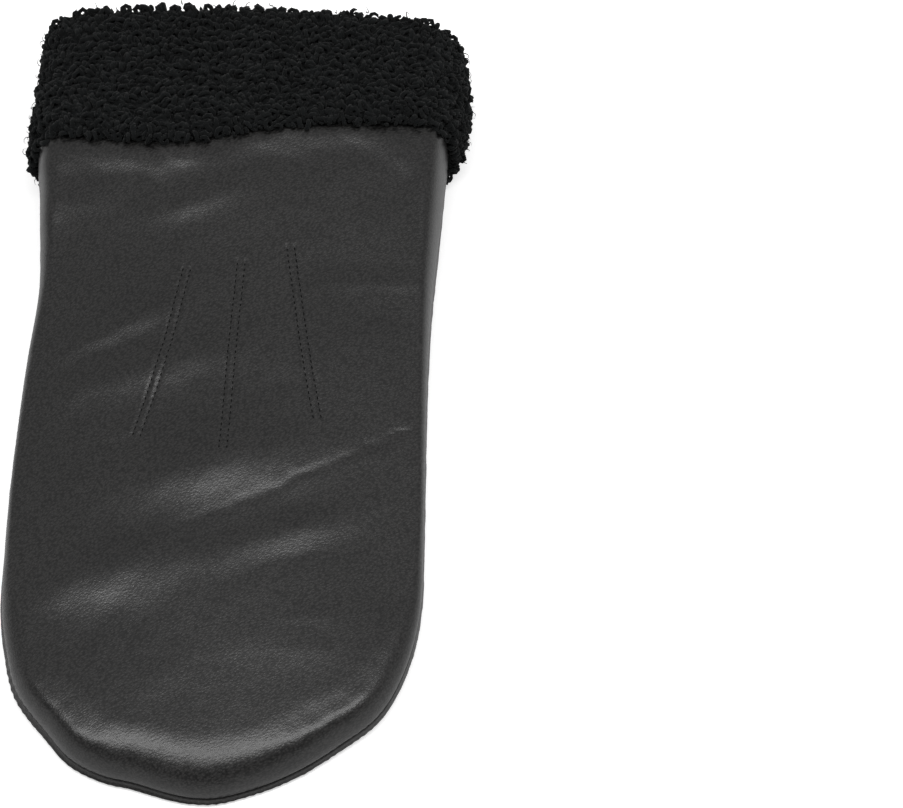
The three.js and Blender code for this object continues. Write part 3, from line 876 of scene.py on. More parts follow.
@dataclass
class BackPanel(LeatherPanel):
    """The back panel, with its raised lines, creases, puckers and unevenness."""

    ridge_height: float = 0.06
    ridge_width: float = 0.8
    groove_depth: float = 0.42
    groove_width: float = 0.52
    full_from_edge: float = 4.0
    full_width: float = 3.5
    fullness: Table = field(default_factory=lambda: Table(
        ("lift",),
        (
            (0.0, 1.7),
            (0.08, 1.5),
            (0.16, 0.7),
            (0.3, 0.2),
            (0.8, 0.2),
            (0.88, 0.9),
            (0.93, 0.8),
            (0.98, 0.1),
            (1.0, 0.0),
        ),
    ))
    wrinkles: tuple[Wrinkle, ...] = (
        Wrinkle((-1.02, -0.211, 0.56), (0.022, 0.017, 0.013), 6.2, 1.4),
        Wrinkle((0.51, 0.698, 0.868), (0.006, 0.029, 0.063), 3.4, 0.5),
        Wrinkle((-0.978, -0.806, -0.597), (0.117, 0.103, 0.081), 5.2, 0.5),
        Wrinkle((-0.912, -0.832, -0.742), (0.172, 0.165, 0.158), 1.0, -0.2),
        Wrinkle((0.301, 0.39, 0.481), (0.137, 0.138, 0.151), 2.2, 0.15),
        Wrinkle((0.358, 0.654, 0.949), (0.257, 0.235, 0.231), 3.7, 0.22),
        Wrinkle((-0.118, 0.344, 0.893), (0.62, 0.554, 0.453), 1.5, -0.28),
        Wrinkle((0.668, 0.799, 0.923), (0.493, 0.465, 0.454), 0.8, -0.16),
        Wrinkle((0.168, 0.343, 0.515), (0.688, 0.667, 0.649), 1.1, -0.12),
        Wrinkle((0.362, 0.487, 0.628), (0.759, 0.751, 0.753), 3.0, 0.14),
        Wrinkle((0.381, 0.487, 0.605), (0.809, 0.8, 0.804), 4.9, 0.24),
        Wrinkle((-0.61, -0.499, -0.402), (0.502, 0.497, 0.492), 0.9, -0.1),
        Wrinkle((-0.93, -0.63, -0.33), (0.368, 0.333, 0.298), 5.2, 0.42),
        Wrinkle((-0.91, -0.465, -0.02), (0.418, 0.392, 0.366), 7.3, 0.38),
        Wrinkle((-0.967, -0.58, -0.193), (0.734, 0.7, 0.666), 9.0, 0.22),
    )
    creases: tuple[CreasePatch, ...] = (
        CreasePatch(0.84, 0.455, 20, 9, 3, 1.7, 0.14),
        CreasePatch(-0.86, 0.17, 14, 8, 4, 2.2, 0.07),
        CreasePatch(0.83, 0.64, 60, 4, 4, 1.8, 0.07),
        CreasePatch(-0.8, 0.88, 50, 7, 5, 3.4, 0.1),
    )

    def relief(self, spot: dict[str, Array]) -> Array:
        """Adds up the back's fine relief, in millimetres, and the fullness of its rounded edge.

        Args:
            spot: The grid's places, from place.

        Returns:
            The relief at each place.
        """
        away = ease(0, 10, spot["from_edge"])
        full = self.fullness.follow("lift", -spot["rim_y"] / self.hand.length)
        full = full * bell(spot["from_edge"] - self.full_from_edge, self.full_width)
        return self.fine(spot["x"], spot["y"], away) + full + seam_pucker(spot)

    def fine(self, x: Array, y: Array, away: Array | float = 1.0) -> Array:
        """The relief away from the seam, in millimetres.

        Args:
            x: Places across the hand.
            y: Places along the hand.
            away: From 0 at the edge to 1 well inside it.

        Returns:
            The relief at each place.
        """
        soft = 0.1 * Ripple(60, 0.35, 1, heading=107, stray=38)(x, y)
        soft += 0.03 * Ripple(16, 0.4, 2, heading=107, stray=45)(x, y)
        grain = 0.008 * Ripple(6.5, 0.4, 3)(x, y)
        return soft * away + grain + self.wrinkle_relief(x, y) + self.points(x, y) + self.crease_relief(x, y)

    def wrinkle_relief(self, x: Array, y: Array) -> Array:
        """The narrower folds and hollows: bell curves across curved lines that fade at both ends.

        A line is the parabola through its three places. Its distance is (y - line) / sqrt(1 + slope^2),
        and wavers a little.

        Args:
            x: Places across the hand.
            y: Places along the hand.

        Returns:
            The relief at each place.
        """
        total = np.zeros(np.broadcast(x, y).shape)
        waver, swell = Ripple(13, 0.4, 5)(x, y), Ripple(22, 0.4, 6)(x, y)
        for wrinkle in self.wrinkles:
            across = np.array(wrinkle.across) * self.hand.half_width
            line = np.polyfit(across - across[1], -np.array(wrinkle.along) * self.hand.length, 2)
            slope = np.polyval(np.polyder(line), x - across[1])
            out = (y - np.polyval(line, x - across[1])) / np.sqrt(1 + slope**2)
            share = (x - across[0]) / (across[2] - across[0])
            inside = ease(-0.2, 0.25, share) * (1 - ease(0.75, 1.2, share))
            ridge = bell(out + 0.3 * min(wrinkle.width, 2.0) * waver, wrinkle.width)
            total += wrinkle.depth * ridge * inside * (0.88 + 0.12 * swell)
        return total

    def points(self, x: Array, y: Array) -> Array:
        """The raised lines: a cord between two rows of stitches that pull the leather down.

        Args:
            x: Places across the hand.
            y: Places along the hand.

        Returns:
            The relief at each place.
        """
        total = np.zeros_like(x)
        for line in POINT_LINES:
            share = np.linspace(0, 1, 60)
            line_x, line_y = point_line_path(self.hand, line, share)
            length = way_along(line_x, line_y)
            order = np.argsort(line_y)
            at = np.interp(y, line_y[order], length[order])
            lean = np.gradient(line_x, line_y)
            centre = np.interp(y, line_y[order], line_x[order])
            slope = np.interp(y, line_y[order], lean[order])
            out = np.abs(x - centre) / np.sqrt(1 + slope**2)
            inside = ease(line_y.min() - 0.8, line_y.min() + 1.5, y)
            inside = inside * (1 - ease(line_y.max() - 1.5, line_y.max() + 0.8, y))
            hole = 0.5 + 0.5 * np.cos(TURN * at / STITCH_PITCH)
            ridge = self.ridge_height * bell(out, self.ridge_width)
            groove = self.groove_depth * bell(out - NEEDLE_ROW, self.groove_width)
            total += inside * (ridge - groove * (0.82 + 0.18 * hole))
        return total

    def crease_relief(self, x: Array, y: Array) -> Array:
        """Patches of fine creases: sharp troughs side by side, wavering along their length.

        Args:
            x: Places across the hand.
            y: Places along the hand.

        Returns:
            The relief at each place.
        """
        total = np.zeros_like(x)
        waver = Ripple(14, 0.4, 5)
        for patch in self.creases:
            along, across = self.hand.along_and_across(patch, x, y)
            across = across + 0.5 * waver(x, y)
            wave = np.abs(np.sin(math.pi * across / patch.spacing)) ** 0.7
            total += patch.depth * (wave - 1) * bell(along, patch.length) * bell(across, patch.breadth)
        return total


def seam_pucker(spot: dict[str, Array]) -> Array:
    """Small gathers at the sewn edge, one to a stitch, and wider ones round the tip.

    Args:
        spot: The grid's places, from place.

    Returns:
        The relief at each place.
    """
    run = np.broadcast_to(spot["run"], spot["x"].shape)
    near = np.exp(-spot["from_edge"] / 1.4)
    fine = 0.5 + 0.5 * np.cos(TURN * run / SEAM_PITCH)
    strength = 0.6 + 0.4 * np.sin(run / 9.0) * np.sin(run / 23.0)
    tip = ease(-150, -190, np.broadcast_to(spot["rim_y"], run.shape))
    wide = (0.5 + 0.5 * np.sin(TURN * run / 8.3 + 1.5 * np.sin(run / 11.0))) * tip
    reach = np.exp(-spot["from_edge"] / 5.0) * (1 - np.exp(-spot["from_edge"] / 1.5))
    return -mix(0.07, 0.34, tip) * fine * strength * near - 0.2 * wide * reach


@dataclass
class PalmPanel(LeatherPanel):
    """The palm panel, cut through where the thumb comes out of the hand."""

    def relief(self, spot: dict[str, Array]) -> Array:
        """Adds up the palm's fine relief, in millimetres.

        Args:
            spot: The grid's places, from place.

        Returns:
            The relief at each place.
        """
        x, y = spot["x"], spot["y"]
        away = ease(2, 12, spot["from_edge"])
        soft = 0.2 * Ripple(30, 0.4, 11)(x, y) * away + 0.03 * Ripple(7, 0.4, 12)(x, y)
        return soft + seam_pucker(spot)

    def cut(self, panel: bpy.types.Object, room: bpy.types.Object) -> bpy.types.Object:
        """Cuts the room of the thumb out of the panel.

        Args:
            panel: The palm panel.
            room: A closed mesh round the thumb, which is removed afterwards.

        Returns:
            The panel.
        """
        boolean = panel.modifiers.new("thumb_hole", "BOOLEAN")
        boolean.operation = "DIFFERENCE"
        boolean.solver = "EXACT"
        boolean.object = room
        depsgraph = bpy.context.evaluated_depsgraph_get()
        mesh = bpy.data.meshes.new_from_object(panel.evaluated_get(depsgraph))
        panel.modifiers.clear()
        panel.data = mesh
        bpy.data.objects.remove(room)
        return panel


def fan(sides: int) -> Array:
    """Triangles that close a ring of points, all from its first point."""
    return np.stack([np.zeros(sides - 2, int), np.arange(2, sides), np.arange(1, sides - 1)], axis=1)


@dataclass
class Thumb:
    """The thumb: a flat leather sock with an open base, lying under the palm."""

    hand: Hand
    rings: int = 132
    sides: int = 160
    room_sides: int = 64
    straight_share: float = 0.62

    def surface(self, turn: Array, share: Array, depth: float) -> tuple[Array, Array, Array]:
        """A point of the thumb, or of a surface at a depth inside it.

        The section is a superellipse. It keeps its size along the straight part, and follows a
        superellipse again over the round tip.

        Args:
            turn: Angles round the thumb.
            share: Shares of its length from the base.
            depth: The depth inside its outside.

        Returns:
            The points' x, y and z.
        """
        hand = self.hand
        past = np.clip((share - self.straight_share) / (1 - self.straight_share), 0, 1)
        cap = past * math.pi / 2
        x, y, z = hand.thumb_axis(np.minimum(share / self.straight_share, 1))
        power = 2 / hand.thumb_power
        narrowing = np.abs(np.cos(cap)) ** power * (past < 1)
        reach = (hand.thumb_tip - depth) * np.abs(np.sin(cap)) ** power
        across = np.sign(np.cos(turn)) * np.abs(np.cos(turn)) ** power
        high = np.sign(np.sin(turn)) * np.abs(np.sin(turn)) ** power
        half_thickness = (hand.thumb_thickness + hand.thumb_flat) / 2
        return (
            x + (hand.thumb_half_width - depth) * narrowing * across,
            y - reach,
            z + (half_thickness - depth) * narrowing * high,
        )

    def sheet(self, turns: int, shares: Array, depth: float, floor: float, fine: bool) -> Array:
        """Rings of points along the thumb, held above a floor.

        Args:
            turns: How many points in a ring.
            shares: Where the rings are, as shares of the length.
            depth: The depth inside the thumb's outside.
            floor: The lowest height.
            fine: Whether the seam and the fine relief are added.

        Returns:
            The points, as ring, point, coordinate.
        """
        turn = np.arange(turns)[None, :] / turns * TURN
        grid = np.stack(np.broadcast_arrays(*self.surface(turn, shares[:, None], depth)), axis=2)
        if fine:
            around = np.roll(grid, -1, 1) - np.roll(grid, 1, 1)
            normal = unit(np.cross(around, np.gradient(grid, axis=0)))
            seam = np.abs(grid[:, :, 2] - grid[:, :1, 2])
            groove = -0.55 * bell(seam, 0.5) + 0.25 * bell(seam - 1.3, 0.8)
            run = grid[:, :, 1]
            pucker = 0.12 * np.sin(TURN * run / SEAM_PITCH) * bell(seam, 2.2)
            soft = 0.22 * Ripple(19, 0.4, 21)(grid[:, :, 0], run + grid[:, :, 2])
            soft += 0.05 * Ripple(6, 0.4, 22)(grid[:, :, 0], run + grid[:, :, 2])
            fading = (1 - ease(0.96, 1, shares))[:, None]
            grid = grid + normal * ((groove + pucker + soft) * fading)[:, :, None]
        grid[:, :, 2] = np.maximum(grid[:, :, 2], floor)
        grid[-1] = grid[-1, 0]
        return grid

    def build(self) -> bpy.types.Object:
        """Makes the closed sock with its outer and inner sheets.

        Returns:
            The thumb's object.
        """
        hand = self.hand
        outer = self.sheet(self.sides, np.linspace(0, 1, self.rings), 0, 0, True)
        inner_rings = self.rings // 3
        inner = self.sheet(self.sides, np.linspace(0, 1, inner_rings), hand.leather, hand.leather, False)
        outside = np.arange(self.rings * self.sides).reshape(self.rings, self.sides)
        within = outside.size + np.arange(inner_rings * self.sides).reshape(inner_rings, self.sides)
        outside[-1] = outside[-1, 0]
        within[-1] = within[-1, 0]
        rim = [np.roll(outside[0], -1), outside[0], within[0], np.roll(within[0], -1)]
        inside = turned_over(cells(within, wrap=True))
        quads = np.concatenate([cells(outside, wrap=True), inside, np.stack(rim, axis=1)])
        points = np.concatenate([outer.reshape(-1, 3), inner.reshape(-1, 3)])
        points = to_points(hand, points[:, 0], points[:, 1], points[:, 2])
        return make_mesh("thumb_leather", points, quads)

    def room(self) -> bpy.types.Object:
        """Makes a closed mesh a clearance outside the thumb, to cut the palm with.

        Returns:
            The mesh's object.
        """
        hand = self.hand
        sides = self.room_sides
        shares = np.concatenate([[-0.1], np.linspace(0, 1, 24)])
        grid = self.sheet(sides, shares, -hand.thumb_clearance, -hand.thumb_clearance, False)
        number = np.arange(grid.shape[0] * sides).reshape(-1, sides)
        number[-1] = number[-1, 0]
        points = grid.reshape(-1, 3)
        return make_mesh("thumb_room", to_points(hand, *points.T), cells(number, wrap=True), fan(sides))


def tubes(hand: Hand, name: str, path: Array, across: Array, radius: Array, sides: int) -> bpy.types.Object:
    """Makes many closed tubes as one mesh.

    Args:
        hand: The hand, for its place in the row's frame.
        name: The object's name.
        path: Points along each tube, as tube, station, coordinate.
        across: A way roughly across the tube at each station.
        radius: The radius at each station, as tube, station.
        sides: How many sides each tube has.

    Returns:
        The object.
    """
    count, stations, _ = path.shape
    angle = np.arange(sides) * TURN / sides
    tangent = unit(np.gradient(path, axis=1))
    two = unit(np.cross(tangent, across))
    one = np.cross(two, tangent)
    ring = one[:, :, None] * np.cos(angle)[:, None] + two[:, :, None] * np.sin(angle)[:, None]
    points = path[:, :, None] + ring * radius[:, :, None, None]
    quads = cells(np.arange(stations * sides).reshape(stations, sides), wrap=True)[None]
    base = (np.arange(count) * stations * sides)[:, None, None]
    quads = (quads + base).reshape(-1, 4)
    last = (stations - 1) * sides + fan(sides)[:, ::-1]
    ends = (np.concatenate([fan(sides), last])[None] + base).reshape(-1, 3)
    flat = points.reshape(-1, 3)
    return make_mesh(name, to_points(hand, *flat.T), quads, ends)


def unit(vectors: Array) -> Array:
    """Scales vectors to a length of 1."""
    return vectors / np.maximum(np.linalg.norm(vectors, axis=-1, keepdims=True), 1e-12)


def soft_floor(points: Array, low: float, high: float) -> Array:
    """Presses points that lie below high into the layer from low to high, keeping their order.

    The new height is low + (high - low) * exp((z - high) / (high - low)).

    Args:
        points: The points, with their coordinates last.
        low: The lowest height.
        high: The height above which nothing moves.

    Returns:
        The pressed points.
    """
    z = points[..., 2]
    pressed = low + (high - low) * np.exp((np.minimum(z, high) - high) / (high - low))
    return np.concatenate([points[..., :2], np.where(z < high, pressed, z)[..., None]], axis=-1)


@dataclass
class WoolCuff:
    """The curly wool cuff: a knobbly band, curled locks over it and loose wisps."""

    hand: Hand
    backing: float = 1.5
    band_step: float = 1.3
    band_turns: int = 300
    band_bumps: float = 0.45
    curl_radius: float = 1.15
    strand: float = 0.74
    curl_area: float = 5.3
    edge_area: float = 4.4
    edge_lap: float = 1.4
    edge_depth: float = -1.9
    corner_hang: float = 2.5
    palm_step: float = 1.0
    lining_area: float = 14.5
    lining_size: float = 0.85
    wisp_area: float = 40.0
    wisp_thickness: float = 0.2
    stations: int = 10
    sides: int = 6

    def profile(self, fine: float) -> tuple[Array, Array]:
        """Closed section of the band as places along the hand and depths inside the leather.

        It runs out along the inside, round the mouth, back along the outside and then along the
        sleeve, with a point about every fine millimetres.

        Args:
            fine: The spacing of the points.

        Returns:
            The places and the depths.
        """
        hand = self.hand
        inner = hand.sleeve_inset + hand.sleeve_wall
        outer = self.backing - hand.cuff_proud
        mouth_outer = outer + hand.cuff_narrowing
        mouth_inner = mouth_outer + hand.cuff_wall - 2 * self.backing
        rim = (mouth_inner - mouth_outer) / 2
        end = hand.cuff_length - rim - self.backing
        steps = int((end + hand.sleeve_depth) / fine)
        y = np.linspace(-hand.sleeve_depth, end, steps)
        depth = mix(inner, mouth_inner, ease(0, hand.cuff_length, y))
        angle = np.linspace(0, math.pi, 8)[1:-1]
        y = np.append(y, end + rim * np.sin(angle))
        depth = np.append(depth, mix(mouth_inner, mouth_outer, (1 - np.cos(angle)) / 2))
        share = np.linspace(0, 1, int(end / fine))
        y = np.append(y, mix(end, hand.cuff_gap + hand.cuff_edge, share))
        depth = np.append(depth, mix(mouth_outer, outer, share))
        angle = np.linspace(0, math.pi / 2, 5)[1:]
        edge = hand.cuff_edge - self.backing
        y = np.append(y, hand.cuff_gap + self.backing / 2 + hand.cuff_edge * (1 - np.sin(angle)))
        depth = np.append(depth, outer + edge * (1 - np.cos(angle)))
        y = np.append(y, [hand.cuff_gap + 0.2, hand.cuff_gap])
        depth = np.append(depth, [1.0, hand.sleeve_inset])
        back = np.linspace(0, 1, 10)[1:]
        y = np.append(y, mix(hand.cuff_gap, -hand.sleeve_depth, back))
        depth = np.append(depth, np.full(9, hand.sleeve_inset))
        return y, depth

    def band(self) -> bpy.types.Object:
        """Makes the knobbly band that fills the space between the curls.

        Returns:
            The piece's object.
        """
        y, depth = self.profile(self.band_step)
        turns = self.band_turns
        turn = np.arange(turns)[None, :] / turns
        run = turn * 4 * self.hand.half_width
        bumps = Ripple(4.2, 0.4, 31)(run, y[:, None] * 1.1 + depth[:, None] * 0.7)
        bumps += 0.6 * Ripple(2.6, 0.3, 32)(run, y[:, None] + depth[:, None])
        sleeve = depth[:, None] >= self.hand.sleeve_inset - 0.01
        outside = (y[:, None] > 1.0) & (depth[:, None] < 2.5)
        depths = depth[:, None] - self.band_bumps * bumps * np.where(sleeve & ~outside, 0.0, 1.0)
        grid = np.stack(np.broadcast_arrays(*self.hand.cuff_point(turn, y[:, None], depths)), axis=2)
        rows = len(y)
        number = np.arange((rows + 1) * turns).reshape(rows + 1, turns)
        quads = cells(number, wrap=True) % (rows * turns)
        flat = grid.reshape(-1, 3)
        return make_mesh("wool_band", to_points(self.hand, *flat.T), quads[:, ::-1])

    def frames(self, turn: Array, y: Array, depth: Array) -> tuple[Array, Array, Array, Array]:
        """Places on the cuff with their way out, their way round and their way along.

        Args:
            turn: Shares of the way round.
            y: Places along the hand.
            depth: Depths inside the leather.

        Returns:
            The places and the three ways, each of length 1.
        """
        point = self.hand.cuff_point
        at = np.stack(point(turn, y, depth), axis=-1)
        out = unit(np.stack(point(turn, y, depth - 0.5), axis=-1) - at)
        around = unit(np.stack(point(turn + 1e-3, y, depth), axis=-1) - at)
        along = unit(np.cross(out, around))
        return at, unit(np.cross(around, along)), around, along

    def scatter(self, area: float, low: float, high: float, seed: int) -> tuple[Array, Array]:
        """Spreads places evenly but unevenly spaced over the cuff's girth.

        They lie on a jittered grid whose cells have the given area in square millimetres.

        Args:
            area: A cell's area.
            low: The lowest place along the hand.
            high: The highest one.
            seed: The seed of the random draw.

        Returns:
            The turns and the places along the hand.
        """
        draw = np.random.default_rng(SEED * 100 + seed)
        girth = 4 * self.hand.half_width + 2 * self.hand.back_height
        cell = math.sqrt(area)
        rows = max(int((high - low) / cell), 1)
        columns = int(girth / cell)
        row, column = np.meshgrid(np.arange(rows), np.arange(columns), indexing="ij")
        jitter = draw.uniform(-0.5, 0.5, (2, rows, columns))
        y = low + (row + 0.5 + 0.8 * jitter[0]) / rows * (high - low)
        turn = (column + 0.5 * (row % 2) + 0.8 * jitter[1]) / columns
        return self.even_turn(turn).ravel(), y.ravel()

    def even_turn(self, turn: Array) -> Array:
        """Turns with even steps of the way round, from even steps of the turn's own measure.

        Args:
            turn: The turns, in even steps of the way round.

        Returns:
            The turns that section_curve takes.
        """
        fine = np.linspace(0, 1, 2001)
        x, z = self.hand.section_curve(fine, np.zeros_like(fine))
        way = way_along(x, z)
        return np.interp((turn % 1) * way[-1], way, fine)

    def curls(
        self, name: str, turn: Array, y: Array, depth: Array, size: float, seed: int
    ) -> bpy.types.Object:
        """Makes curled locks: short coils of a tapering strand, each turned its own way.

        A coil's centre stands on the cuff. Its path is centre + r (cos a u + sin a v) + p a w, with
        u and v across the coil's own axis w.

        Args:
            name: The piece's name.
            turn: Shares of the way round.
            y: Places along the hand.
            depth: Depths inside the leather.
            size: The curls' size beside the usual one.
            seed: The seed of the random draw.

        Returns:
            The piece's object.
        """
        draw = np.random.default_rng(SEED * 10 + seed)
        count = len(turn)
        at, out, around, along = self.frames(turn, y, depth)
        heading = draw.uniform(0, TURN, count)[:, None]
        lean = draw.normal(0, 0.45, count)[:, None]
        flat = unit(around * np.cos(heading) + along * np.sin(heading))
        axis = unit(flat + out * lean)
        one = unit(np.cross(axis, out))
        two = np.cross(axis, one)
        radius = size * self.curl_radius * draw.uniform(0.7, 1.3, count)
        turns = draw.uniform(1.1, 1.9, count)
        start = draw.uniform(0, TURN, count)
        share = np.linspace(0, 1, self.stations)[None, :]
        angle = start[:, None] + share * turns[:, None] * TURN
        phase = draw.uniform(-0.6, 0.6, count)[:, None]
        swell = radius[:, None] * (0.75 + 0.35 * np.sin(share * math.pi + phase))
        cos, sin = np.cos(angle)[:, :, None], np.sin(angle)[:, :, None]
        radial = cos * one[:, None] + sin * two[:, None]
        pitch = (share - 0.5) * (draw.uniform(1.2, 2.6, count) * size)[:, None]
        lift = (draw.uniform(-0.2, 0.75, count) * radius)[:, None, None]
        path = at[:, None] + out[:, None] * lift + radial * swell[:, :, None]
        path = path + axis[:, None] * pitch[:, :, None]
        taper = np.sqrt(np.clip(1 - (2 * share - 1) ** 4, 0.05, 1))
        thick = size * self.strand * draw.uniform(0.8, 1.2, count)[:, None] * taper
        path = soft_floor(path, 0.6, 2.0)
        return tubes(self.hand, name, path, radial, thick, self.sides)

    def outside(self) -> list[bpy.types.Object]:
        """Makes the curls of the outside, in one piece for the back and one for the palm.

        Returns:
            The two pieces' objects.
        """
        hand = self.hand
        turn, y = self.scatter(self.curl_area, hand.cuff_gap + 1.0, hand.cuff_length - 1.5, 1)
        depth = self.backing - hand.cuff_proud + hand.cuff_narrowing * y / hand.cuff_length
        edge_turn, edge_y = self.scatter(self.edge_area, -self.edge_lap, hand.cuff_gap + hand.cuff_edge, 8)
        edge_y = edge_y - self.corner_hang * bell(edge_turn, 0.05) + self.palm_step * (edge_turn > 0.5)
        turn, y = np.append(turn, edge_turn), np.append(y, edge_y)
        depth = np.append(depth, np.full(len(edge_y), self.edge_depth))
        back = turn < 0.5
        pieces = [self.curls("wool_curls_back", turn[back], y[back], depth[back], 1.0, 2)]
        pieces.append(self.curls("wool_curls_palm", turn[~back], y[~back], depth[~back], 1.0, 3))
        return pieces

    def inside(self) -> bpy.types.Object:
        """Makes the curls of the rim and of the lining that shows from the mouth.

        Returns:
            The piece's object.
        """
        hand = self.hand
        turn, spot = self.scatter(self.lining_area, -hand.sleeve_depth + 2, hand.cuff_length, 4)
        inner = hand.sleeve_inset + hand.sleeve_wall
        mouth = self.backing - hand.cuff_proud + hand.cuff_narrowing + hand.cuff_wall - 2 * self.backing
        level = mix(inner, mouth, ease(0, hand.cuff_length, spot))
        y = np.minimum(spot, hand.cuff_length - 3)
        return self.curls("wool_lining", turn, y, level, self.lining_size, 5)

    def wisps(self) -> bpy.types.Object:
        """Makes thin loose loops of fibre that stand out from the curls.

        Returns:
            The piece's object.
        """
        hand = self.hand
        draw = np.random.default_rng(SEED * 10 + 7)
        turn, y = self.scatter(self.wisp_area, hand.cuff_gap + 0.5, hand.cuff_length + 0.5, 6)
        depth = 0.4 - hand.cuff_proud + hand.cuff_narrowing * y / hand.cuff_length
        at, out, around, along = self.frames(turn, np.minimum(y, hand.cuff_length - 1), depth)
        count = len(turn)
        heading = draw.uniform(0, TURN, count)[:, None]
        flat = unit(around * np.cos(heading) + along * np.sin(heading))
        axis = np.cross(flat, out)
        share = np.linspace(0, 1, 7)[None, :]
        angle = share * (draw.uniform(0.8, 1.6, count) * math.pi)[:, None]
        size = draw.uniform(0.8, 1.7, count)[:, None]
        along_flat = (np.sin(angle) * size)[:, :, None] * flat[:, None]
        rising = ((1 - np.cos(angle)) * size * 0.8)[:, :, None] * out[:, None]
        path = soft_floor(at[:, None] + along_flat + rising, 0.2, 1.4)
        thick = np.full((count, 7), self.wisp_thickness) * (1.2 - share)
        return tubes(hand, "wool_wisps", path, np.broadcast_to(axis[:, None], path.shape), thick, 3)


@dataclass
class Stitching:
    """The thread: stitches along the raised lines and in the seam round the hand."""

    hand: Hand
    thread: float = 0.24

    def line_stitches(self, panel: BackPanel) -> bpy.types.Object:
        """Makes the stitches of the raised lines, one lying in each dip of a needle row.

        Args:
            panel: The back panel, for its relief.

        Returns:
            The piece's object.
        """
        hand = self.hand
        starts, ends = [], []
        for line in POINT_LINES:
            share = np.linspace(0, 1, 400)
            x, y = point_line_path(hand, line, share)
            way = way_along(x, y)
            count = int(way[-1] / STITCH_PITCH)
            near = (np.arange(count) + 0.62) * STITCH_PITCH
            far = near + 0.74 * STITCH_PITCH
            for row in (-1, 1):
                for places, ways in ((starts, near), (ends, far)):
                    px, py = np.interp(ways, way, x), np.interp(ways, way, y)
                    slope = np.interp(ways, way, np.gradient(x, y))
                    places.append(np.stack([px + row * NEEDLE_ROW, py - row * NEEDLE_ROW * slope], axis=1))
        start, end = np.concatenate(starts), np.concatenate(ends)
        share = np.linspace(0, 1, 7)[None, :, None]
        flat = start[:, None] + (end - start)[:, None] * share
        inward = 1 - np.abs(flat[:, :, 0]) / hand.width(flat[:, :, 0], flat[:, :, 1])
        top = hand.back_top(flat[:, :, 0], flat[:, :, 1], inward) + panel.fine(flat[:, :, 0], flat[:, :, 1])
        arch = np.sin(share[:, :, 0] * math.pi)
        path = np.concatenate([flat, (top + self.thread * (0.7 * arch - 0.95))[:, :, None]], axis=2)
        x, y, z = hand.slant(path[:, :, 0], path[:, :, 1], path[:, :, 2])
        path = np.stack([x, y, z], axis=2)
        up = np.broadcast_to(np.array([0.0, 0.0, 1.0]), path.shape)
        thick = np.broadcast_to(self.thread * (0.75 + 0.35 * arch), path.shape[:2])
        return tubes(hand, "point_stitches", path, up, thick, 6)

    def seam(self) -> bpy.types.Object:
        """Makes the thread in the seam: one short bar across the groove to each stitch.

        Returns:
            The piece's object.
        """
        hand = self.hand
        fine = np.linspace(0.002, 0.998, 4000)
        x, y = hand.edge(fine)
        way = way_along(x, y)
        count = int(way[-1] / SEAM_PITCH)
        around = np.interp((np.arange(count) + 0.5) * SEAM_PITCH, way, fine)
        rim_x, rim_y = hand.edge(around)
        centre = np.maximum(rim_y, hand.fan_centre)
        reach = np.hypot(rim_x, centre - rim_y)
        cx, cy = -rim_x / reach, (centre - rim_y) / reach
        level = hand.seam_level(rim_y)
        share = np.linspace(-1, 1, 7)[None, :]
        inset = hand.seam_turn * (0.72 + 0.3 * np.abs(share))
        skew = 0.35 * share
        px = rim_x[:, None] + cx[:, None] * inset - cy[:, None] * skew
        py = rim_y[:, None] + cy[:, None] * inset + cx[:, None] * skew
        pz = level[:, None] + 0.62 * share
        path = np.stack(np.broadcast_arrays(*hand.slant(px, py, pz)), axis=2)
        out = np.stack([-cx, -cy, np.zeros_like(cx)], axis=1)[:, None]
        out = np.broadcast_to(out, path.shape)
        return tubes(hand, "seam_stitches", path, out, np.full(path.shape[:2], self.thread), 5)


class NodeKit:
    """Adds shader nodes to a tree and links them, so that a material reads as a recipe."""

    def __init__(self, tree: bpy.types.NodeTree) -> None:
        """Keeps the tree."""
        self.tree = tree

    def add(self, kind: str, settings: dict | None = None, **sockets: object) -> bpy.types.Node:
        """Adds a node.

        Args:
            kind: The node's type, such as ShaderNodeBump.
            settings: Values of the node's own properties.
            sockets: Values or output sockets for its inputs, by name with _ for a space.

        Returns:
            The node.
        """
        node = self.tree.nodes.new(kind)
        for name, value in (settings or {}).items():
            setattr(node, name, value)
        self.plug(node, **sockets)
        return node

    def plug(self, node: bpy.types.Node, **sockets: object) -> None:
        """Sets or links a node's inputs.

        Args:
            node: The node.
            sockets: Values or output sockets, by the input's name with _ for a space, or by i and
                its number.
        """
        for name, value in sockets.items():
            by_number = name[0] == "i" and name[1:].isdigit()
            socket = node.inputs[int(name[1:]) if by_number else name.replace("_", " ")]
            if isinstance(value, bpy.types.NodeSocket):
                self.tree.links.new(value, socket)
            else:
                socket.default_value = value

    def group(self, name: str, **sockets: object) -> bpy.types.Node:
        """Adds a group's node, by the group's name."""
        return self.add("ShaderNodeGroup", {"node_tree": bpy.data.node_groups[name]}, **sockets)

    def blend(self, mottle: bpy.types.Node, dark: Colour, light: Colour) -> bpy.types.NodeSocket:
        """Blends two colours by the slow mottle of the unevenness group.

        Args:
            mottle: The group's node.
            dark: The colour where the mottle is low.
            light: The colour where it is high.

        Returns:
            The colour's output.
        """
        share = self.scale(mottle.outputs["Slow"], 0.3, 0.7, 0.0, 1.0)
        settings = {"data_type": "RGBA"}
        return self.add("ShaderNodeMix", settings, i0=share, i6=(*dark, 1.0), i7=(*light, 1.0)).outputs[2]

    def scale(
        self, value: bpy.types.NodeSocket, low: float, high: float, out_low: float, out_high: float
    ) -> bpy.types.NodeSocket:
        """Maps a value from one range to another, held within it."""
        node = self.add("ShaderNodeMapRange", i0=value, i1=low, i2=high, i3=out_low, i4=out_high)
        return node.outputs[0]


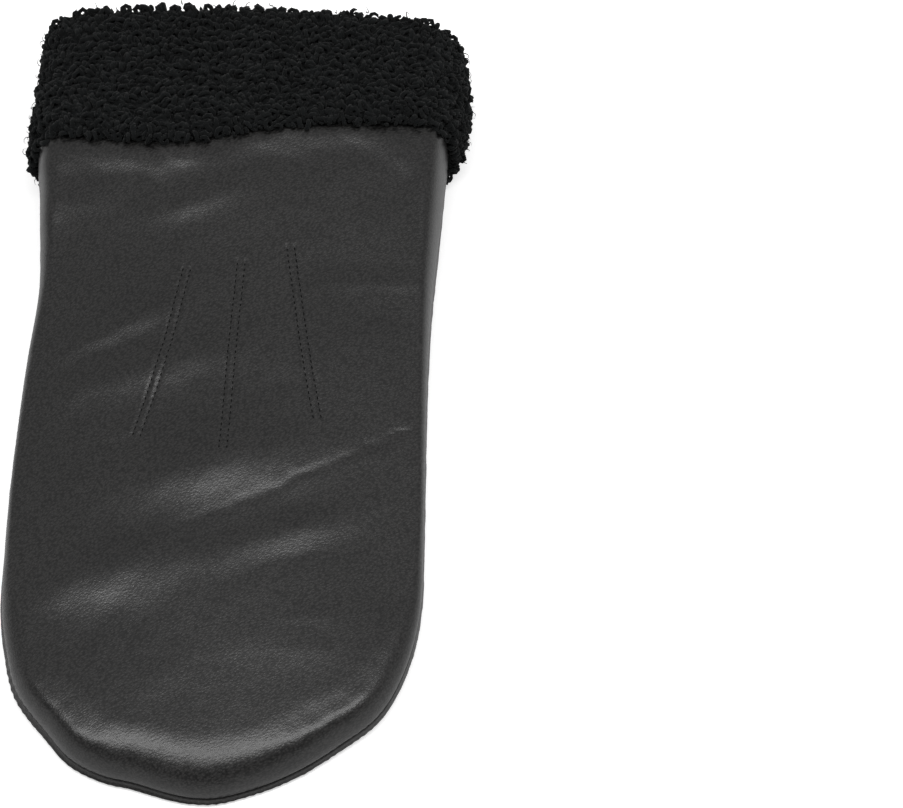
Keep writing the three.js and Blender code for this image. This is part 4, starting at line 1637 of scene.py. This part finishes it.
def new_group(
    name: str, inputs: dict[str, float], outputs: dict[str, str]
) -> tuple[bpy.types.NodeTree, NodeKit]:
    """Makes an empty shader node group.

    Args:
        name: The group's name.
        inputs: Input names and their starting values.
        outputs: Output names and their socket types.

    Returns:
        The group and a kit that adds nodes to it.
    """
    group = bpy.data.node_groups.new(name, "ShaderNodeTree")
    for label, value in inputs.items():
        socket = group.interface.new_socket(label, in_out="INPUT", socket_type="NodeSocketFloat")
        socket.default_value = value
    for label, kind in outputs.items():
        group.interface.new_socket(label, in_out="OUTPUT", socket_type=kind)
    return group, NodeKit(group)


def unevenness_group() -> bpy.types.NodeTree:
    """A group that gives a slow and a fine mottle over a surface, each from 0 to 1.

    Returns:
        The group.
    """
    group, kit = new_group(
        "unevenness",
        {"Slow Scale": 30.0, "Fine Scale": 900.0},
        {"Slow": "NodeSocketFloat", "Fine": "NodeSocketFloat"},
    )
    entry = kit.add("NodeGroupInput")
    place = kit.add("ShaderNodeTexCoord").outputs["Object"]
    sizes = entry.outputs
    slow = kit.add("ShaderNodeTexNoise", Vector=place, Scale=sizes["Slow Scale"], Detail=3.0, Roughness=0.55)
    fine = kit.add("ShaderNodeTexNoise", Vector=place, Scale=sizes["Fine Scale"], Detail=2.0, Roughness=0.6)
    kit.add("NodeGroupOutput", Slow=slow.outputs["Fac"], Fine=fine.outputs["Fac"])
    return group


def grain_group() -> bpy.types.NodeTree:
    """A group that gives the height of fine leather grain: long low cells, lying slantwise.

    Returns:
        The group.
    """
    sizes = {"Scale": 1900.0, "Stretch": 0.55}
    group, kit = new_group("leather_grain", sizes, {"Height": "NodeSocketFloat"})
    entry = kit.add("NodeGroupInput")
    place = kit.add("ShaderNodeTexCoord").outputs["Object"]
    bend = kit.add("ShaderNodeTexNoise", Vector=place, Scale=220.0, Detail=2.0)
    shove = kit.add("ShaderNodeVectorMath", {"operation": "SCALE"}, i0=bend.outputs["Color"], Scale=0.0012)
    bent = kit.add("ShaderNodeVectorMath", {"operation": "ADD"}, i0=place, i1=shove.outputs[0])
    turned = kit.add("ShaderNodeMapping", Vector=bent.outputs[0], Rotation=(0.0, 0.0, math.radians(-35)))
    long_way = kit.add("ShaderNodeCombineXYZ", X=entry.outputs["Stretch"], Y=1.0, Z=1.0)
    stretched = kit.add(
        "ShaderNodeVectorMath",
        {"operation": "MULTIPLY"},
        i0=turned.outputs[0],
        i1=long_way.outputs[0],
    )
    cell = kit.add(
        "ShaderNodeTexVoronoi",
        {"feature": "SMOOTH_F1"},
        Vector=stretched.outputs[0],
        Scale=entry.outputs["Scale"],
        Smoothness=0.5,
    )
    pore = kit.add("ShaderNodeTexNoise", Vector=place, Scale=1700.0, Detail=1.0)
    dome = kit.scale(cell.outputs["Distance"], 0.0, 0.7, 0.8, 0.0)
    pores = kit.scale(pore.outputs["Fac"], 0.3, 0.7, 0.0, 0.2)
    total = kit.add("ShaderNodeMath", {"operation": "ADD"}, i0=dome, i1=pores)
    kit.add("NodeGroupOutput", Height=total.outputs[0])
    return group


@dataclass(frozen=True)
class LeatherFinish:
    """Smooth black leather with a satin sheen."""

    name: str
    dark: Colour
    light: Colour
    roughness: float
    specular: float
    grain_depth: float

    def material(self) -> bpy.types.Material:
        """Builds the material, with its colour, gloss and grain worked out over the surface, and with
        painted shade in the grain's hollows and a painted sheen on its domes.

        Returns:
            The material.
        """
        material, kit, shader = start_material(self.name)
        mottle = kit.group("unevenness", Slow_Scale=26.0, Fine_Scale=700.0)
        grain = kit.group("leather_grain").outputs["Height"]
        colour = kit.blend(mottle, self.dark, self.light)
        # Painted shade and sheen: the grain's height scales the base colour, from a tenth in its hollows,
        # where shade would fall, to nearly twice on its domes, where the sheen would catch the light.
        tone = kit.scale(grain, 0.05, 0.7, 0.1, 1.95)
        grain_shade_and_sheen = kit.add("ShaderNodeVectorMath", {"operation": "SCALE"}, i0=colour, Scale=tone)
        dull, bright = self.roughness + 0.03, self.roughness - 0.03
        fine = kit.scale(mottle.outputs["Fine"], 0.25, 0.75, bright, dull)
        slow = kit.scale(mottle.outputs["Slow"], 0.25, 0.75, -0.02, 0.02)
        rough = kit.add("ShaderNodeMath", {"operation": "ADD"}, i0=fine, i1=slow)
        bump = kit.add("ShaderNodeBump", Strength=1.0, Distance=self.grain_depth, Height=grain)
        kit.plug(
            shader,
            Base_Color=grain_shade_and_sheen.outputs[0],
            Roughness=rough.outputs[0],
            Specular_IOR_Level=self.specular,
            Normal=bump.outputs[0],
        )
        return material


@dataclass(frozen=True)
class WoolFinish:
    """Dull black wool."""

    name: str
    dark: Colour
    light: Colour
    fibre_depth: float
    sheen: float

    def material(self) -> bpy.types.Material:
        """Builds the material, with fibres as a fine stretched relief.

        Returns:
            The material.
        """
        material, kit, shader = start_material(self.name)
        mottle = kit.group("unevenness", Slow_Scale=160.0, Fine_Scale=2600.0)
        fibres = mottle.outputs["Fine"]
        bump = kit.add("ShaderNodeBump", Strength=1.0, Distance=self.fibre_depth, Height=fibres)
        kit.plug(
            shader,
            Base_Color=kit.blend(mottle, self.dark, self.light),
            Roughness=kit.scale(fibres, 0.2, 0.8, 0.7, 0.95),
            Normal=bump.outputs[0],
            Sheen_Weight=self.sheen,
            Sheen_Roughness=0.5,
            Specular_IOR_Level=0.04,
        )
        return material


@dataclass(frozen=True)
class ThreadFinish:
    """Black twisted sewing thread."""

    name: str
    colour: Colour

    def material(self) -> bpy.types.Material:
        """Builds the material, with the twist as a fine wave.

        Returns:
            The material.
        """
        material, kit, shader = start_material(self.name)
        place = kit.add("ShaderNodeTexCoord").outputs["Object"]
        bands = {"wave_type": "BANDS", "bands_direction": "DIAGONAL"}
        twist = kit.add("ShaderNodeTexWave", bands, Vector=place, Scale=900.0)
        mottle = kit.group("unevenness", Fine_Scale=1800.0)
        tone = kit.scale(mottle.outputs["Fine"], 0.3, 0.7, 0.6, 1.4)
        colour = kit.add("ShaderNodeVectorMath", {"operation": "SCALE"}, i0=self.colour, Scale=tone)
        bump = kit.add("ShaderNodeBump", Strength=0.6, Distance=0.0001, Height=twist.outputs["Fac"])
        kit.plug(
            shader,
            Base_Color=colour.outputs[0],
            Normal=bump.outputs[0],
            Roughness=0.8,
            Specular_IOR_Level=0.12,
        )
        return material


@dataclass(frozen=True)
class FloorFinish:
    """A plain pale floor, with a glow that is seen on it but lights nothing."""

    name: str
    colour: Colour
    glow: float

    def material(self) -> bpy.types.Material:
        """Builds the material.

        Returns:
            The material.
        """
        material, kit, shader = start_material(self.name)
        seen = kit.add("ShaderNodeLightPath").outputs["Is Camera Ray"]
        kit.plug(
            shader,
            Base_Color=(*self.colour, 1.0),
            Roughness=0.6,
            Specular_IOR_Level=0.2,
            Emission_Color=(1.0, 1.0, 1.0, 1.0),
            Emission_Strength=kit.scale(seen, 0.0, 1.0, 0.0, self.glow),
        )
        return material


def start_material(name: str) -> tuple[bpy.types.Material, NodeKit, bpy.types.Node]:
    """Makes a material with an empty kit of nodes and its shader.

    Args:
        name: The material's name.
    """
    material = bpy.data.materials.new(name)
    material.use_nodes = True
    shader = material.node_tree.nodes["Principled BSDF"]
    return material, NodeKit(material.node_tree), shader


@dataclass(frozen=True)
class SoftBox:
    """A soft box that faces the mitten: its place and size in metres and its power in watts."""

    name: str
    place: tuple[float, float, float]
    size: tuple[float, float]
    power: float


Ramp = tuple[tuple[float, float], ...]


@dataclass
class Studio:
    """The floor, the soft box, the room round them and the camera."""

    hand: Hand
    camera_elevation: float = 55.0
    camera_turn: float = 2.05
    camera_distance: float = 1.2
    aim: tuple[float, float] = (0.0671, -0.0766)
    pixels_per_metre: float = 3270.0
    sensor: float = 36.0
    floor_reach: float = 3000.0
    front_room: Ramp = ((0.0, 0.9), (0.2, 0.4), (0.45, 0.18), (0.85, 0.18), (1.0, 0.3))
    back_room: Ramp = ((0.0, 0.52), (0.14, 0.5), (0.34, 0.46), (0.75, 0.45), (1.0, 0.43))
    box: SoftBox = SoftBox("overhead", (0.04, -0.26, 1.2), (2.0, 0.3), 14.0)

    def camera(self) -> None:
        """Places the camera at the photograph's angle, so that the mitten lands where it lies there."""
        data = bpy.data.cameras.new("camera")
        data.sensor_width = self.sensor
        data.lens = self.pixels_per_metre * self.camera_distance / IMAGE_WIDTH * self.sensor
        data.clip_end = 20.0
        camera = bpy.data.objects.new("camera", data)
        up, turn = math.radians(self.camera_elevation), math.radians(self.camera_turn)
        away = Vector((math.cos(up) * math.sin(turn), -math.cos(up) * math.cos(turn), math.sin(up)))
        aim = Vector((self.aim[0], self.aim[1] + self.hand.shift * METRES, 0.0))
        camera.location = aim + away * self.camera_distance
        camera.rotation_euler = (-away).to_track_quat("-Z", "Y").to_euler()
        bpy.context.scene.collection.objects.link(camera)
        bpy.context.scene.camera = camera

    def light(self, box: SoftBox) -> None:
        """Hangs a soft box, facing the mitten.

        Args:
            box: The soft box.
        """
        data = bpy.data.lights.new(box.name, "AREA")
        data.shape = "RECTANGLE"
        data.size, data.size_y = box.size
        data.energy = box.power
        lamp = bpy.data.objects.new(box.name, data)
        lamp.location = box.place
        lamp.rotation_euler = (-Vector(box.place)).to_track_quat("-Z", "Y").to_euler()
        bpy.context.scene.collection.objects.link(lamp)

    def build(self) -> None:
        """Sets up the floor, the background, the soft box and the camera."""
        reach = self.floor_reach
        corners = np.array([(-reach, -reach, 0), (reach, -reach, 0), (reach, reach, 0), (-reach, reach, 0)])
        floor = make_mesh("floor", corners, np.array([[0, 1, 2, 3]]))
        floor.data.materials.append(FloorFinish("pale_floor", (0.8, 0.8, 0.8), 0.55).material())
        self.surroundings()
        self.light(self.box)
        bpy.context.scene.view_settings.view_transform = "Standard"
        self.camera()

    def surroundings(self) -> None:
        """Makes a soft white room: bright walls, a dimmer ceiling and a dark end behind the camera.

        The brightness follows a ramp over the sine of the elevation, one for each end of the room,
        and is blended between them from front to back.
        """
        world = bpy.data.worlds.new("studio")
        world.use_nodes = True
        kit = NodeKit(world.node_tree)
        way = kit.add("ShaderNodeSeparateXYZ", Vector=kit.add("ShaderNodeTexCoord").outputs["Generated"])
        ends = []
        for stops in (self.front_room, self.back_room):
            ramp = kit.add("ShaderNodeValToRGB", Fac=way.outputs["Z"])
            ramp.color_ramp.interpolation = "EASE"
            for _ in stops[2:]:
                ramp.color_ramp.elements.new(0.5)
            for element, (at, bright) in zip(ramp.color_ramp.elements, stops):
                element.position = at
                element.color = (bright, bright, bright, 1)
            ends.append(ramp.outputs["Color"])
        to_back = kit.scale(way.outputs["Y"], -0.25, 0.25, 0.0, 1.0)
        bright = kit.add("ShaderNodeMix", {"data_type": "RGBA"}, i0=to_back, i6=ends[0], i7=ends[1])
        kit.plug(world.node_tree.nodes["Background"], Color=bright.outputs[2], Strength=1.0)
        bpy.context.scene.world = world


def side_columns(hand: Hand, stretches: Sequence[tuple[float, float]], tip_step: float) -> Array:
    """Places round the edge with their own spacing on stretches of the sides.

    Args:
        hand: The hand.
        stretches: The end of each stretch from the wrist and the step within it, in millimetres.
        tip_step: The step round the tip, in millimetres.

    Returns:
        Shares of the way round, the same both sides of the middle.
    """
    along, start = [], 0.0
    for end, step in stretches:
        along.append(np.linspace(start, end, max(int((end - start) / step), 1), endpoint=False))
        start = end
    side = np.concatenate(along) / hand.tip_start * hand.side_share
    tip = np.linspace(hand.side_share, 1 - hand.side_share, 2 * int(hand.tip_arc / tip_step / 2) + 1)
    return np.concatenate([side, tip, 1 - side[::-1]])


def dress(piece: bpy.types.Object, material: bpy.types.Material, nodes: Sequence[str]) -> None:
    """Gives a piece its material and ties it to the frame.

    Args:
        piece: The piece.
        material: Its material.
        nodes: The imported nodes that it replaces.
    """
    piece.data.materials.clear()
    piece.data.materials.append(material)
    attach(piece, "root")
    if nodes:
        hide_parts(*nodes)
    faces = piece.data.polygons
    totals = np.zeros(len(faces), np.int32)
    faces.foreach_get("loop_total", totals)
    log.info("%s: %d triangles", piece.name, int((totals - 2).sum()))


def main() -> None:
    """Builds the mitten piece by piece, then the studio."""
    logging.basicConfig(level=logging.INFO, format="%(message)s")
    hand = Hand()
    unevenness_group()
    grain_group()
    leather = LeatherFinish(
        "black_leather", (0.0095, 0.0092, 0.009), (0.0125, 0.012, 0.0117), 0.34, 0.58, 0.00004
    ).material()
    wool = WoolFinish(
        "black_wool", (0.0055, 0.0061, 0.0063), (0.0098, 0.0109, 0.0112), 0.0004, 0.06
    ).material()
    thread = ThreadFinish("black_thread", (0.003, 0.003, 0.003)).material()

    columns = side_columns(hand, ((38.0, 1.3), (122.0, 0.52), (hand.tip_start, 1.2)), 1.3)
    rows = np.concatenate([
        1 - np.cos(np.linspace(0, math.pi / 3, 37)[:-1]),
        np.linspace(0.5, 1.0, 67),
    ])
    back = BackPanel(hand, "back_leather", Side.BACK, columns, rows, 3)
    dress(back.build(), leather, ["back_panel"])

    palm_columns = side_columns(hand, ((hand.tip_start, 1.3),), 1.3)
    palm_rows = np.concatenate([
        1 - np.cos(np.linspace(0, math.pi / 4.4, 33)[:-1]),
        np.linspace(1 - math.cos(math.pi / 4.4), 1.0, 37),
    ])
    palm = PalmPanel(hand, "palm_leather", Side.PALM, palm_columns, palm_rows, 2)
    thumb = Thumb(hand)
    dress(palm.cut(palm.build(), thumb.room()), leather, ["palm_panel"])
    dress(thumb.build(), leather, ["thumb"])

    stitching = Stitching(hand)
    dress(stitching.line_stitches(back), thread, [])
    dress(stitching.seam(), thread, [])

    cuff = WoolCuff(hand)
    dress(cuff.band(), wool, ["wool_cuff"])
    for piece in cuff.outside():
        dress(piece, wool, [])
    dress(cuff.inside(), wool, [])
    dress(cuff.wisps(), wool, [])

    Studio(hand).build()


if __name__ == "__main__":
    main()
